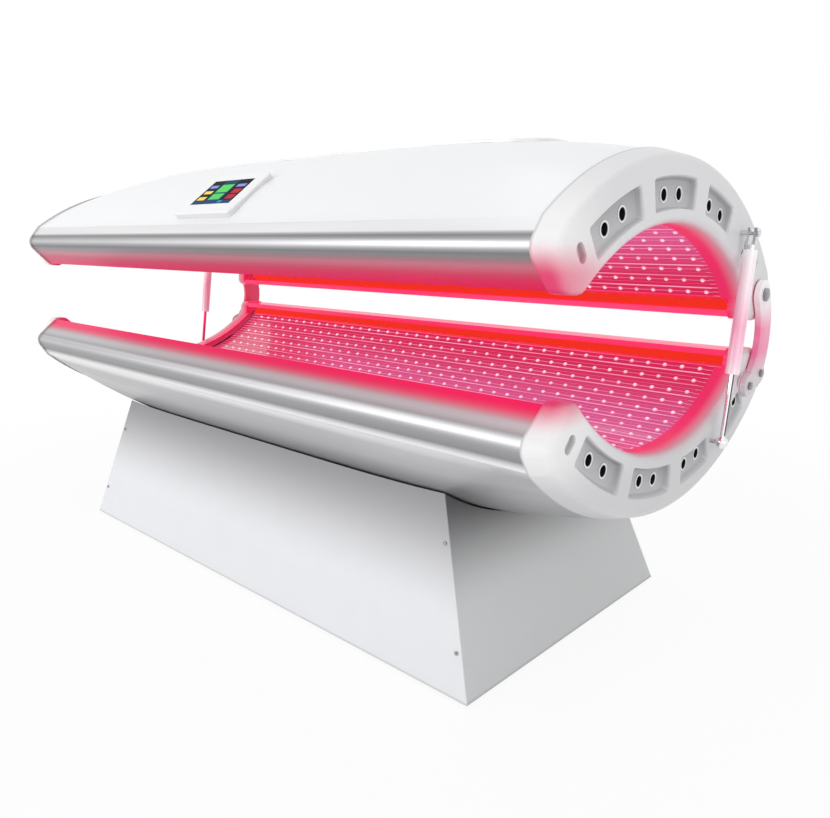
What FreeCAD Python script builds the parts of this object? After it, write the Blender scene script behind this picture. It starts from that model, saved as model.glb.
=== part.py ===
import FreeCAD, Part
import math
import os
import re
import Sketcher

# Driving dimensions in millimetres and degrees: name, value, meaning
SIZES = [
    ("body_length", 1800, "skins between the two end caps"),
    ("belly_height", 334, "ends of the belly above the floor"),
    ("belly_drop", 65, "middle of the belly below its ends"),
    ("belly_hold", 5, "power at which the belly draws in towards its ends"),
    ("closing_gap", 42, "half the gap between the front lips when shut"),
    ("pivot_inset", 24.6, "canopy pivot in front of the rear lip line"),
    ("pivot_rise", 87, "canopy pivot above the closing plane"),
    ("rest_opening", 6.7, "opening of the canopy in the modelled pose"),
    ("skin_wall", 2, "sheet of the belly"),
    ("seam_angle", 42.5, "where the skins meet the noses, from the middle"),
    ("acrylic_radius", 516, "face that the user lies on"),
    ("acrylic_wall", 4, "clear acrylic sheet"),
    ("lamp_overlap", 0.5, "acrylic past the seam, in degrees"),
    ("lamp_gap", 10, "lamp tray behind the acrylic"),
    ("tray_wall", 2, "sheet of the lamp tray"),
    ("board_width", 24, "lamp board"),
    ("board_wall", 1.6, "lamp board"),
    ("board_margin", 14, "board beyond its last lamp"),
    ("led_pitch", 42, "lamps along a board"),
    ("led_margin", 60, "first and last lamps from the ends of the skins"),
    ("row_margin", 1.4, "outer boards inside the seam, in degrees"),
    ("row_pitch", 4.1, "boards round the arc"),
    ("led_radius", 3.5, "lamp"),
    ("led_height", 2.5, "lamp above its board"),
    ("reflector_wall", 3, "light bar beside the rear rail"),
    ("reflector_span", 3.1, "light bar, in degrees"),
    ("reflector_past", 2.5, "light bar past the seam, in degrees"),
    ("seat_gap", 2, "noses behind the acrylic"),
    ("profile_wall", 2.5, "wall of the nose and rail extrusions"),
    ("lip_past", 4.8, "front lip of the bed past the seam, in degrees"),
    ("nose_overhang", 22, "nose beyond the seam"),
    ("nose_rise", 43, "middle of the nose above the seam"),
    ("nose_round", 24, "radius of the nose"),
    ("rail_step", 7, "top of the rear rail above the front lip"),
    ("rail_overhang", 60, "rear rail inside the lip line"),
    ("rail_flat", 64, "flat top of the rear rail"),
    ("rail_face", 13, "height of the rear rail's lip"),
    ("cap_depth", 46, "end cap along the bed"),
    ("cap_proud", 4, "end cap outside the skins"),
    ("cap_draft", 14, "end cap drawn in at its face"),
    ("cap_lip_height", 18, "inner lip of the end cap above the acrylic"),
    ("cap_lip_depth", 15, "inner lip laid over the acrylic"),
    ("cap_lip_inset", 3, "that inner lip inside the seam, in degrees"),
    ("cap_corner", 20, "corners of the cap's outline"),
    ("cap_round", 16, "rounded edge of the cap's face"),
    ("cap_wall", 14, "walls round the hollow behind the cap's face"),
    ("pocket_floor", 5, "between the pockets and that hollow"),
    ("cavity_front_inset", 4.5, "hollow inside the front seam, in degrees"),
    ("cavity_rear_inset", 13.5, "hollow inside the rear seam, in degrees"),
    ("pocket_inner_margin", 23, "pockets from the cap's inner edge"),
    ("pocket_outer_margin", 47, "pockets from the cap's outer edge"),
    ("pocket_depth", 11, "pockets in the cap's face"),
    ("pocket_round", 7, "corners of the pockets"),
    ("pocket_slope", 8, "walls of the pockets drawn in at the floor"),
    ("pocket_near", 10, "middle of the inner pockets"),
    ("pocket_far", 31, "middle of the outer pockets"),
    ("pocket_front_half", 8.4, "half width of the front pockets"),
    ("pocket_half", 6.6, "half width of the pocket beside the strut"),
    ("pocket_rear_half", 4.9, "half width of the pocket beside the hinge"),
    ("vent_inset", 25, "vents from the pockets' inner edge"),
    ("vent_radius", 11.6, "vent"),
    ("vent_spread", 3, "vents either side of a pocket's middle"),
    ("vent_cup_wall", 1.2, "plastic cup in each vent"),
    ("vent_cup_depth", 12, "plastic cup in each vent"),
    ("vent_rim", 2, "rim of the cup on the pocket floor"),
    ("tip_pocket_past", 0.3, "small pocket in the front tip, past the seam"),
    ("tip_pocket_offset", 13, "small pocket outside the circle of the vents"),
    ("tip_pocket_length", 34, "small pocket in the front tip"),
    ("tip_pocket_width", 20, "small pocket in the front tip"),
    ("cover_wall", 4, "white cover of the canopy"),
    ("crown", 50, "rise of the cover's middle over its ends"),
    ("crown_hold", 4, "power at which the cover comes down towards its ends"),
    ("panel_rise", 5, "raised panel on the cover"),
    ("top_panel_inset", 220, "raised panel from the ends of the cover"),
    ("top_panel_width", 300, "raised panel on the cover"),
    ("top_panel_round", 60, "corners of the raised panel"),
    ("screen_x", -8, "screen along the canopy"),
    ("screen_rise", 92, "middle of the screen above the front seam, along the cover"),
    ("bezel_width", 226, "screen housing"),
    ("bezel_height", 148, "screen housing"),
    ("bezel_rise", 9, "screen housing above the cover"),
    ("bezel_root", 12, "screen housing before it is cut to the cover"),
    ("bezel_round", 10, "corners of the screen housing"),
    ("display_width", 158, "screen glass"),
    ("display_height", 92, "screen glass"),
    ("display_wall", 3, "screen glass"),
    ("display_shift", 5, "screen glass above the housing's middle"),
    ("rib_wall", 6, "plates of the bed's and canopy's frames"),
    ("rib_angle", 41, "half width of the plates"),
    ("keel_angle", 30, "half width of the plates where they reach the skins"),
    ("keel_gap", 0.3, "plates inside the skins there"),
    ("rib_inset", 12, "end plate inside the skins' ends"),
    ("fan_station", 450, "fan plates from the middle"),
    ("beam_side", 30, "square beams of those frames"),
    ("beam_wall", 2, "square beams of those frames"),
    ("beam_angle", 25, "beams from the middle"),
    ("fan_side", 80, "square fan"),
    ("fan_depth", 25, "square fan"),
    ("fan_rim", 2.5, "case round the fan duct"),
    ("fan_gap", 3, "fan between the tray and the skin"),
    ("tip_gap", 2, "blade tip inside the duct"),
    ("hub_radius", 15, "fan hub"),
    ("motor_plate", 3, "plate behind the fan hub"),
    ("rotor_gap", 3, "hub in front of that plate"),
    ("rotor_inset", 4, "hub inside the front of the fan"),
    ("blade_wall", 1.5, "fan blade"),
    ("blade_chord", 12, "fan blade"),
    ("blade_sink", 3, "fan blade inside the hub"),
    ("blade_count", 7, "fan blades"),
    ("blade_pitch", 35, "fan blade's twist from the axle"),
    ("axle_radius", 3, "fan axle"),
    ("running_gap", 0.05, "radial clearance of shafts"),
    ("arm_wall", 13, "hinge arm plate"),
    ("arm_width", 62, "hinge arm, as wide as its rounded top"),
    ("arm_bow", 32, "hinge arm bowed to the rear"),
    ("arm_foot", 24, "rounding round the foot's bolts"),
    ("foot_front_inset", 5.2, "front foot bolt inside the seam, in degrees"),
    ("foot_front_offset", 21, "front foot bolt inside the circle of the vents"),
    ("foot_rear_past", 1.2, "rear foot bolt past the seam, in degrees"),
    ("foot_rear_offset", 4, "rear foot bolt outside the circle of the vents"),
    ("pad_margin", 2, "cap's pad beyond the arm's foot"),
    ("flange_gap", 0.5, "arm outside the bush's flange"),
    ("bolt_radius", 5, "foot bolt shank"),
    ("bolt_head_lip", 4, "foot bolt head beyond its shank"),
    ("bolt_head_wall", 6, "foot bolt head"),
    ("bolt_grip", 22, "foot bolt inside the cap"),
    ("pin_radius", 8, "hinge pin"),
    ("pin_head_lip", 6, "hinge pin head beyond its shank"),
    ("pin_head_wall", 7, "hinge pin head"),
    ("bush_wall", 4, "hinge bush"),
    ("bush_flange_lip", 6, "hinge bush flange"),
    ("bush_flange_wall", 1.5, "hinge bush flange"),
    ("bush_length", 26, "hinge bush inside the cap"),
    ("strut_gap", 24, "struts outside the caps' faces"),
    ("lower_stud_past", 1.3, "lower stud past the inner pocket, in degrees"),
    ("lower_stud_offset", 8, "lower stud inside the circle of the vents"),
    ("upper_stud_past", 6.1, "upper stud past the inner pocket, in degrees"),
    ("upper_stud_offset", 8, "upper stud outside the circle of the vents"),
    ("stud_radius", 5, "studs"),
    ("stud_floor", 3, "studs past the depth of the pockets"),
    ("stud_head_lip", 3, "upper stud head beyond its stem"),
    ("stud_head_wall", 3, "upper stud head"),
    ("ball_radius", 9, "ball of the lower stud"),
    ("socket_wall", 3.2, "socket round that ball"),
    ("joint_gap", 0.35, "clearance of the strut's end fittings"),
    ("rod_radius", 5, "strut rod"),
    ("rod_length", 300, "strut rod from the ball to the piston's end"),
    ("piston_gap", 2.5, "strut piston inside its tube"),
    ("piston_length", 12, "strut piston"),
    ("tube_radius", 13.5, "strut tube"),
    ("tube_wall", 2.5, "strut tube"),
    ("tube_mouth", 140, "mouth of the tube from the lower ball"),
    ("tube_head", 5, "closed end of the tube"),
    ("gland_gap", 2.2, "gland round the rod"),
    ("gland_length", 12, "gland in the tube's mouth"),
    ("clevis_length", 34, "clevis from the tube to the stud"),
    ("clevis_base", 9, "solid root of the clevis"),
    ("clevis_gap", 8, "between the prongs"),
    ("prong_wall", 5, "prong of the clevis"),
    ("prong_width", 16, "prong of the clevis"),
    ("prong_end", 9, "prong beyond the stud"),
    ("base_length", 1504, "base at the floor"),
    ("base_width", 746, "base at the floor"),
    ("base_lap", 86, "panels above the belly before they are cut to it"),
    ("base_end_lean", 19, "lean of the end panels"),
    ("base_front_lean", 12.05, "lean of the front and rear panels"),
    ("panel_wall", 2, "base panels"),
    ("floor_gap", 5, "panels above the floor"),
    ("belly_gap", 3.5, "panels below the belly"),
    ("bar_side", 20, "bars of the base frame"),
    ("bar_inset", 34, "base frame inside the panels at the floor"),
    ("shelf_wall", 2, "shelf of the base frame"),
    ("leg_end_inset", 302, "legs from the ends of the base"),
    ("leg_side_inset", 20, "legs from the ends of the saddle"),
    ("saddle_gap", 20, "saddle plate inside the panels"),
    ("saddle_depth", 84, "saddle plate below the belly"),
    ("saddle_lap", 88, "saddle plate beside the belly"),
    ("saddle_wall", 8, "saddle plate"),
    ("foot_radius", 22, "rubber foot"),
    ("foot_height", 12, "rubber foot"),
    ("screw_radius", 4, "panel screw head"),
    ("screw_head", 2, "panel screw head"),
    ("screw_low", 89, "lower screws above the floor"),
    ("screw_high", 278, "upper screws above the floor"),
    ("screw_edge", 12, "screws from the panel's edge"),
    ("screw_shank", 2, "panel screw shank, half thickness"),
    ("screw_grip", 6, "panel screw shank"),
    ("supply_length", 215, "power supply"),
    ("supply_width", 115, "power supply"),
    ("supply_height", 50, "power supply"),
    ("supply_pitch", 240, "power supplies along the base"),
    ("supply_count", 4, "power supplies"),
    ("supply_y", -120, "power supplies from the middle"),
    ("control_length", 300, "control box"),
    ("control_width", 200, "control box"),
    ("control_height", 90, "control box"),
    ("control_y", 130, "control box from the middle"),
    ("inlet_inset", 232, "mains inlet from the end of the base"),
    ("inlet_z", 75, "mains inlet above the floor"),
    ("inlet_width", 50, "mains inlet flange"),
    ("inlet_height", 62, "mains inlet flange"),
    ("inlet_flange", 3, "mains inlet flange"),
    ("inlet_margin", 3, "flange beyond its cut-out"),
    ("inlet_depth", 28, "mains inlet behind the panel"),
    ("socket_width", 26, "socket of the inlet"),
    ("socket_height", 18, "socket of the inlet"),
    ("socket_depth", 16, "socket of the inlet"),
    ("socket_drop", 13, "socket below the inlet's middle"),
    ("rocker_rise", 15, "rocker above the inlet's middle"),
    ("rocker_radius", 8, "rocker switch"),
    ("rocker_length", 20, "rocker switch"),
    ("rocker_face", 5, "rocker's face above its pivot"),
    ("rocker_gap", 0.4, "clearance round the rocker"),
]

# Values that follow from the sizes above
DERIVED = {
    "lamp_angle": "seam_angle + lamp_overlap",
    "seat_radius": "acrylic_radius + acrylic_wall + seat_gap",
    "tray_radius": "acrylic_radius + acrylic_wall + lamp_gap",
    "frame_radius": "tray_radius + tray_wall",
    "frame_depth": "fan_side + 2 * fan_gap",
    "skin_radius": "frame_radius + frame_depth + skin_wall",
    "axis_height": "belly_height + skin_radius",
    "fan_circle": "frame_radius + 0.5 * frame_depth",
    "fan_bore": "0.5 * fan_side - fan_rim",
    "fan_tip": "fan_bore - tip_gap",
    "hub_length": "fan_depth - motor_plate - rotor_gap - rotor_inset",
    "cap_lip_radius": "acrylic_radius - cap_lip_height",
    "cap_radius": "skin_radius + cap_proud",
    "cavity_depth": "cap_depth - pocket_depth - pocket_floor",
    "pocket_inner": "cap_lip_radius + pocket_inner_margin",
    "pocket_outer": "cap_radius - pocket_outer_margin",
    "vent_circle": "pocket_inner + vent_inset",
    "stud_root": "pocket_depth + stud_floor",
    "foot_pad": "bush_flange_wall + flange_gap",
    "bolt_head": "bolt_radius + bolt_head_lip",
    "bush_radius": "pin_radius + bush_wall",
    "bush_flange": "bush_radius + bush_flange_lip",
    "pin_head": "pin_radius + pin_head_lip",
    "stud_head": "stud_radius + stud_head_lip",
    "socket_radius": "ball_radius + joint_gap + socket_wall",
    "tube_bore": "tube_radius - tube_wall",
    "piston_radius": "tube_bore - piston_gap",
    "gland_bore": "rod_radius + gland_gap",
    "base_rise": "belly_height + base_lap",
    "saddle_foot": "belly_height - belly_drop - saddle_depth",
    "saddle_height": "saddle_depth + saddle_lap",
    "top_panel_length": "body_length - 2 * top_panel_inset",
}

V = FreeCAD.Vector
UNTURNED = FreeCAD.Rotation()
HOME = FreeCAD.Placement()
ALONG_X = FreeCAD.Rotation(V(0, 1, 0), 90)
MATHS = {"sin", "cos", "tan", "sqrt"}

doc = FreeCAD.newDocument("light_therapy_bed")
sheet = doc.addObject("Spreadsheet::Sheet", "Sizes")
for row, (alias, value, meaning) in enumerate(SIZES, start=1):
    sheet.set(f"A{row}", meaning)
    sheet.set(f"B{row}", str(value))
    sheet.setAlias(f"B{row}", alias)
doc.recompute()

nodes = []


def mm(alias):
    return mm_of(DERIVED[alias]) if alias in DERIVED else float(sheet.get(alias))


def mm_of(formula):
    # Value of a formula of sizes joined by plus and minus signs, with plain factors
    total = 0.0
    for sign, term in re.findall(r"([+-]?)\s*([^+-]+)", formula):
        product = 1.0
        for factor in term.split("*"):
            word = factor.strip()
            product *= float(word) if re.fullmatch(r"[0-9.]+", word) else mm(word)
        total += -product if sign == "-" else product
    return total


def in_sheet(word):
    # A size as the sheet names it, or the formula that a derived value stands for
    name = word.group()
    if name in MATHS:
        return name
    return f"({bound(DERIVED[name])})" if name in DERIVED else "Sizes." + name


def bound(formula):
    return re.sub(r"[a-z][a-z_]*", in_sheet, formula)


def node(obj):
    nodes.append(obj)
    return obj


def primitive(kind, name, sizes, base=V(), turn=UNTURNED, pose=HOME):
    obj = doc.addObject("Part::" + kind, name)
    for prop, formula in sizes.items():
        obj.setExpression(prop, bound(formula))
    obj.Placement = pose.multiply(FreeCAD.Placement(base, turn))
    return obj


def rod_x(name, radius, length, base, pose=HOME):
    # Cylinder that lies along the bed and starts at base
    return primitive("Cylinder", name, {"Radius": radius, "Height": length}, base, ALONG_X, pose)


def block(name, length, width, height, centre, turn=UNTURNED, pose=HOME):
    # Box round its centre
    half = V(mm_of(length) / 2, mm_of(width) / 2, mm_of(height) / 2)
    place = FreeCAD.Placement(centre, turn).multiply(FreeCAD.Placement(-half, UNTURNED))
    sizes = {"Length": length, "Width": width, "Height": height}
    return primitive("Box", name, sizes, place.Base, turn, pose)


def join(name, shapes):
    obj = doc.addObject("Part::MultiFuse", name)
    obj.Shapes = shapes
    return obj


def cut(name, base, tools):
    obj = doc.addObject("Part::Cut", name)
    obj.Base = base
    obj.Tool = tools[0] if len(tools) == 1 else join(name + "_tools", tools)
    return obj


def overlap(name, one, other):
    obj = doc.addObject("Part::Common", name)
    obj.Base = one
    obj.Tool = other
    return obj


def group(name, shapes):
    obj = doc.addObject("Part::Compound", name)
    obj.Links = shapes
    return obj


def mirrored(name, source):
    # Left-hand copy of a right-hand piece
    obj = doc.addObject("Part::Mirroring", name)
    obj.Source = source
    obj.Normal = V(1, 0, 0)
    return obj


def made(name, shape, pose=HOME):
    obj = doc.addObject("Part::Feature", name)
    obj.Shape = shape
    obj.Placement = pose.multiply(shape.Placement)
    return obj


def line(one, other):
    return Part.LineSegment(one, other).toShape()


def arc(one, middle, other):
    return Part.Arc(one, middle, other).toShape()


class Half:
    # One of the two shells: the bed, or the canopy that mirrors it when shut

    def __init__(self, name, mirrored_up, pose):
        self.name = name
        self.mirrored_up = mirrored_up
        self.pose = pose

    def at(self, y, z, x=0.0):
        return V(x, y, 2 * closing_z - z if self.mirrored_up else z)

    def polar(self, radius, degrees, x=0.0):
        # Angles run from the middle of the arc, positive to the rear
        turn = math.radians(degrees)
        return self.at(radius * math.sin(turn), mm("axis_height") - radius * math.cos(turn), x)

    def facing(self, degrees):
        # Turn that points a piece's Z at the centre of the arc
        return FreeCAD.Rotation(V(1, 0, 0), 180 - degrees if self.mirrored_up else degrees)

    def centre_z(self):
        return self.polar(0.0, 0.0).z


lip_turn = math.radians(mm("seam_angle") + mm("lip_past"))
lip_y = mm("seat_radius") * math.sin(lip_turn)
lip_z = mm("axis_height") - mm("seat_radius") * math.cos(lip_turn)
closing_z = lip_z + mm("closing_gap")
pivot = V(0, lip_y - mm("pivot_inset"), closing_z + mm("pivot_rise"))
canopy_turn = FreeCAD.Rotation(V(-1, 0, 0), mm("rest_opening"))
canopy_pose = FreeCAD.Placement(V(), canopy_turn, pivot)
bed = Half("bed", False, HOME)
canopy = Half("canopy", True, canopy_pose)
halves = (bed, canopy)
end_x = mm("body_length") / 2
face_x = end_x + mm("cap_depth")


# Sheets rolled about the centre of an arc

def origin_plane(body, role):
    return next(plane for plane in body.Origin.OriginFeatures if plane.Role == role)


def sketch_on(body, name, role):
    sketch = body.newObject("Sketcher::SketchObject", name)
    sketch.AttachmentSupport = [(origin_plane(body, role), "")]
    sketch.MapMode = "FlatFace"
    return sketch


def arch_points(half, x, rise):
    # Section of a half's skin at a station: front seam, middle and rear seam, moved outwards by rise
    depth, hold = ("crown", "crown_hold") if half.mirrored_up else ("belly_drop", "belly_hold")
    middle = mm("skin_radius") + mm(depth) * (1 - (abs(x) / end_x) ** mm(hold)) + rise
    radius = mm("skin_radius") + rise
    angle = mm("seam_angle")
    return half.polar(radius, -angle, x), half.polar(middle, 0, x), half.polar(radius, angle, x)


def arch_loft(half, rise, wall):
    # Shell of the given wall, or a body filled up to the seams where the wall is zero
    wires = []
    for share in (-1, -0.92, -0.8, -0.6, -0.3, 0, 0.3, 0.6, 0.8, 0.92, 1):
        front, top, rear = arch_points(half, share * end_x, rise)
        if wall:
            inner = arch_points(half, share * end_x, rise - wall)
            edges = [line(rear, inner[2]), arc(*inner[::-1]), line(inner[0], front)]
        else:
            edges = [line(rear, front)]
        wires.append(Part.Wire([arc(front, top, rear)] + edges))
    return Part.makeLoft(wires, True, False)


def rolled_sheet(name, half, radius, wall, angle, length):
    # Sector of a tube, with the wall outside the radius
    grown = mm(radius) + mm(wall)
    spread = math.radians(mm(angle))
    middle = math.pi / 2 if half.mirrored_up else -math.pi / 2
    centre_z = half.centre_z()
    body = doc.addObject("PartDesign::Body", name)
    sketch = sketch_on(body, name + "_section", "YZ_Plane")
    arcs = []
    for size in (mm(radius), grown):
        circle = Part.Circle(V(0, centre_z, 0), V(0, 0, 1), size)
        arcs.append(Part.ArcOfCircle(circle, middle - spread, middle + spread))
    starts = Part.LineSegment(arcs[0].StartPoint, arcs[1].StartPoint)
    ends = Part.LineSegment(arcs[0].EndPoint, arcs[1].EndPoint)
    sketch.addGeometry([arcs[0], arcs[1], starts, ends])
    sketch.addConstraint([
        Sketcher.Constraint("Coincident", 2, 1, 0, 1),
        Sketcher.Constraint("Coincident", 2, 2, 1, 1),
        Sketcher.Constraint("Coincident", 3, 1, 0, 2),
        Sketcher.Constraint("Coincident", 3, 2, 1, 2),
        Sketcher.Constraint("Coincident", 0, 3, 1, 3),
        Sketcher.Constraint("PointOnObject", 0, 3, -2),
        Sketcher.Constraint("PointOnObject", 0, 3, 2),
        Sketcher.Constraint("PointOnObject", 0, 3, 3),
        Sketcher.Constraint("Symmetric", 0, 1, 0, 2, -2),
    ])
    front_to_rear = (0, 2, 0, 1) if half.mirrored_up else (0, 1, 0, 2)
    chord = 2 * mm(radius) * math.sin(spread)
    sketch.addConstraint(Sketcher.Constraint("DistanceY", -1, 1, 0, 3, centre_z))
    sized = (
        (Sketcher.Constraint("Radius", 0, mm(radius)), radius),
        (Sketcher.Constraint("Radius", 1, grown), f"{radius} + {wall}"),
        (Sketcher.Constraint("DistanceX", *front_to_rear, chord), f"2 * {radius} * sin({angle})"),
    )
    for constraint, formula in sized:
        index = sketch.addConstraint(constraint)
        sketch.setExpression(f"Constraints[{index}]", bound(formula))
    pad = body.newObject("PartDesign::Pad", name + "_length")
    pad.Profile = sketch
    pad.SideType = "Symmetric"
    pad.setExpression("Length", bound(length))
    body.Placement = half.pose
    return body


# Outlines of the noses and the rear rails, seen along the bed

def tangent_point(point, centre, radius, side):
    # Where a line from point touches a circle, on the given side of the line to its centre
    away = centre - point
    reach = math.hypot(away.y, away.z)
    turn = math.atan2(away.z, away.y) + side * math.asin(radius / reach)
    length = math.sqrt(reach ** 2 - radius ** 2)
    return point + V(0, length * math.cos(turn), length * math.sin(turn))


def on_circle(radius, z):
    # Distance from the middle of a point of the bed's circle at a height
    return math.sqrt(radius ** 2 - (mm("axis_height") - z) ** 2)


def rounded_side(half, side, top, seam, grow, x):
    # Edges from the top of a nose round its foremost point to the seam
    radius = mm("nose_round") + grow
    edge = bed.polar(mm("skin_radius"), mm("seam_angle"))
    reach = edge.y + mm("nose_overhang")
    centre = half.at(side * (reach - mm("nose_round")), edge.z + mm("nose_rise"), x)
    tip = half.at(side * (reach + grow), edge.z + mm("nose_rise"), x)
    hand = -side if half.mirrored_up else side
    upper = tangent_point(top, centre, radius, hand)
    lower = tangent_point(seam, centre, radius, -hand)
    return [line(top, upper), arc(upper, tip, lower), line(lower, seam)]


def nose_wire(half, x):
    seat = mm("seat_radius")
    angle = mm("seam_angle")
    lip = half.at(-lip_y, lip_z, x)
    seam = half.polar(mm("skin_radius"), -angle, x)
    root = half.polar(seat, -angle, x)
    bend = half.polar(seat, -angle - mm("lip_past") / 2, x)
    return Part.Wire(rounded_side(half, -1, lip, seam, 0.0, x) + [line(seam, root), arc(root, bend, lip)])


def rail_wire(half, x):
    seat = mm("seat_radius")
    angle = mm("seam_angle")
    top = lip_z + mm("rail_step")
    under = top - mm("rail_face")
    inside = lip_y - mm("rail_overhang")
    heel_y = on_circle(seat, under)
    heel_angle = math.degrees(math.atan2(heel_y, mm("axis_height") - under))
    shoulder = half.at(inside + mm("rail_flat"), top, x)
    lip_top = half.at(inside, top, x)
    lip_foot = half.at(inside, under, x)
    heel = half.at(heel_y, under, x)
    seam = half.polar(mm("skin_radius"), angle, x)
    root = half.polar(seat, angle, x)
    bend = half.polar(seat, (angle + heel_angle) / 2, x)
    edges = rounded_side(half, 1, shoulder, seam, 0.0, x)
    edges += [line(seam, root), arc(root, bend, heel)]
    edges += [line(heel, lip_foot), line(lip_foot, lip_top), line(lip_top, shoulder)]
    return Part.Wire(edges)


def hollow_profile(name, half, wire):
    along = V(mm("body_length"), 0, 0)
    bore = wire.makeOffset2D(-mm("profile_wall"))
    return made(name, Part.Face(wire).extrude(along).cut(Part.Face(bore).extrude(along)), half.pose)


# End caps

def sector_wire(half, inner, outer, start, stop, x):
    middle = (start + stop) / 2
    corners = [half.polar(r, a, x) for r, a in ((inner, start), (inner, stop), (outer, stop), (outer, start))]
    return Part.Wire([
        arc(corners[0], half.polar(inner, middle, x), corners[1]),
        line(corners[1], corners[2]),
        arc(corners[2], half.polar(outer, middle, x), corners[3]),
        line(corners[3], corners[0]),
    ])


def sector_solid(half, inner, outer, start, stop, x, depth):
    return Part.Face(sector_wire(half, inner, outer, start, stop, x)).extrude(V(depth, 0, 0))


def lengthwise_edges(shape, points):
    # Edges along the bed that pass through the given points
    found = []
    for edge in shape.Edges:
        ends = [vertex.Point for vertex in edge.Vertexes]
        if len(ends) < 2 or abs(ends[0].x - ends[1].x) < 1e-6:
            continue
        if any(math.hypot(ends[0].y - p.y, ends[0].z - p.z) < 1e-3 for p in points):
            found.append(edge)
    return found


def face_edges(shape, x):
    return [edge for edge in shape.Edges if all(abs(v.X - x) < 1e-6 for v in edge.Vertexes)]


def cap_wire(half, x, drawn_in):
    # Outline of the cap, with its outer side drawn in
    proud = mm("cap_proud")
    inner = mm("cap_lip_radius")
    outer = mm("cap_radius") - drawn_in
    angle = mm("seam_angle")
    front_top = lip_z + proud
    rear_top = lip_z + mm("rail_step") + proud
    rear_y = lip_y - mm("rail_overhang") - proud
    rear_z = mm("axis_height") - math.sqrt(inner ** 2 - rear_y ** 2)
    front_in = half.at(-on_circle(inner, front_top), front_top, x)
    front_lip = half.at(-lip_y, front_top, x)
    front_seam = half.polar(outer, -angle, x)
    rear_in = half.at(rear_y, rear_z, x)
    rear_lip = half.at(rear_y, rear_top, x)
    shoulder = half.at(rear_y + proud + mm("rail_flat"), rear_top, x)
    rear_seam = half.polar(outer, angle, x)
    front = rounded_side(half, -1, front_lip, front_seam, proud - drawn_in, x)
    rear = rounded_side(half, 1, shoulder, rear_seam, proud - drawn_in, x)
    edges = [line(front_in, front_lip)] + front
    edges += [arc(front_seam, half.polar(outer, 0, x), rear_seam)] + rear[::-1]
    edges += [line(shoulder, rear_lip), line(rear_lip, rear_in)]
    edges += [arc(rear_in, half.polar(inner, 0, x), front_in)]
    corners = [front_in, front_lip, rear_in, rear_lip, shoulder]
    return Part.Wire(Part.__sortEdges__(edges)), corners


def cap_blank(half):
    root, corners = cap_wire(half, end_x, 0.0)
    face, _ = cap_wire(half, face_x, mm("cap_draft"))
    solid = Part.makeLoft([root, face], True, True)
    solid = solid.makeFillet(mm("cap_corner"), lengthwise_edges(solid, corners))
    return solid.makeFillet(mm("cap_round"), face_edges(solid, face_x))


def pocket_spans():
    near = mm("pocket_near")
    far = mm("pocket_far")
    wide = mm("pocket_front_half")
    return ((-far, wide), (-near, wide), (near, mm("pocket_half")), (far, mm("pocket_rear_half")))


def vent_angles():
    spread = mm("vent_spread")
    return [middle + side * spread for middle, _ in pocket_spans() for side in (-1, 1)]


def pocket_solids(half):
    slope = mm("pocket_slope")
    turn = math.degrees(slope / 2 / mm("vent_circle"))
    solids = []
    for middle, spread in pocket_spans():
        wires = []
        corners = []
        for x, less, narrow in ((face_x - mm("pocket_depth"), slope, turn), (face_x, 0.0, 0.0)):
            inner = mm("pocket_inner") + less / 2
            outer = mm("pocket_outer") - less
            start = middle - spread + narrow
            stop = middle + spread - narrow
            wires.append(sector_wire(half, inner, outer, start, stop, x))
            corners += [half.polar(r, a) for r in (inner, outer) for a in (start, stop)]
        pocket = Part.makeLoft(wires, True, True)
        solids.append(pocket.makeFillet(mm("pocket_round"), lengthwise_edges(pocket, corners)))
    return solids


def tip_pocket(half):
    # Slot with round ends in the front tip, across the radius
    width = mm("tip_pocket_width")
    run = mm("tip_pocket_length") - width
    depth = mm("pocket_depth")
    slot = Part.makeBox(depth, run, width, V(0, -run / 2, -width / 2))
    for side in (-1, 1):
        end = Part.makeCylinder(width / 2, depth, V(0, side * run / 2, 0), V(1, 0, 0))
        slot = slot.fuse(end)
    angle = -mm_of("seam_angle + tip_pocket_past")
    centre = half.polar(mm_of("vent_circle + tip_pocket_offset"), angle, face_x - depth)
    slot.Placement = FreeCAD.Placement(centre, half.facing(angle + 90))
    return slot


def hole_x(centre, radius, depth):
    # Round hole from the cap's face inwards
    return Part.makeCylinder(radius, depth, V(face_x, centre.y, centre.z), V(-1, 0, 0))


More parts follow.
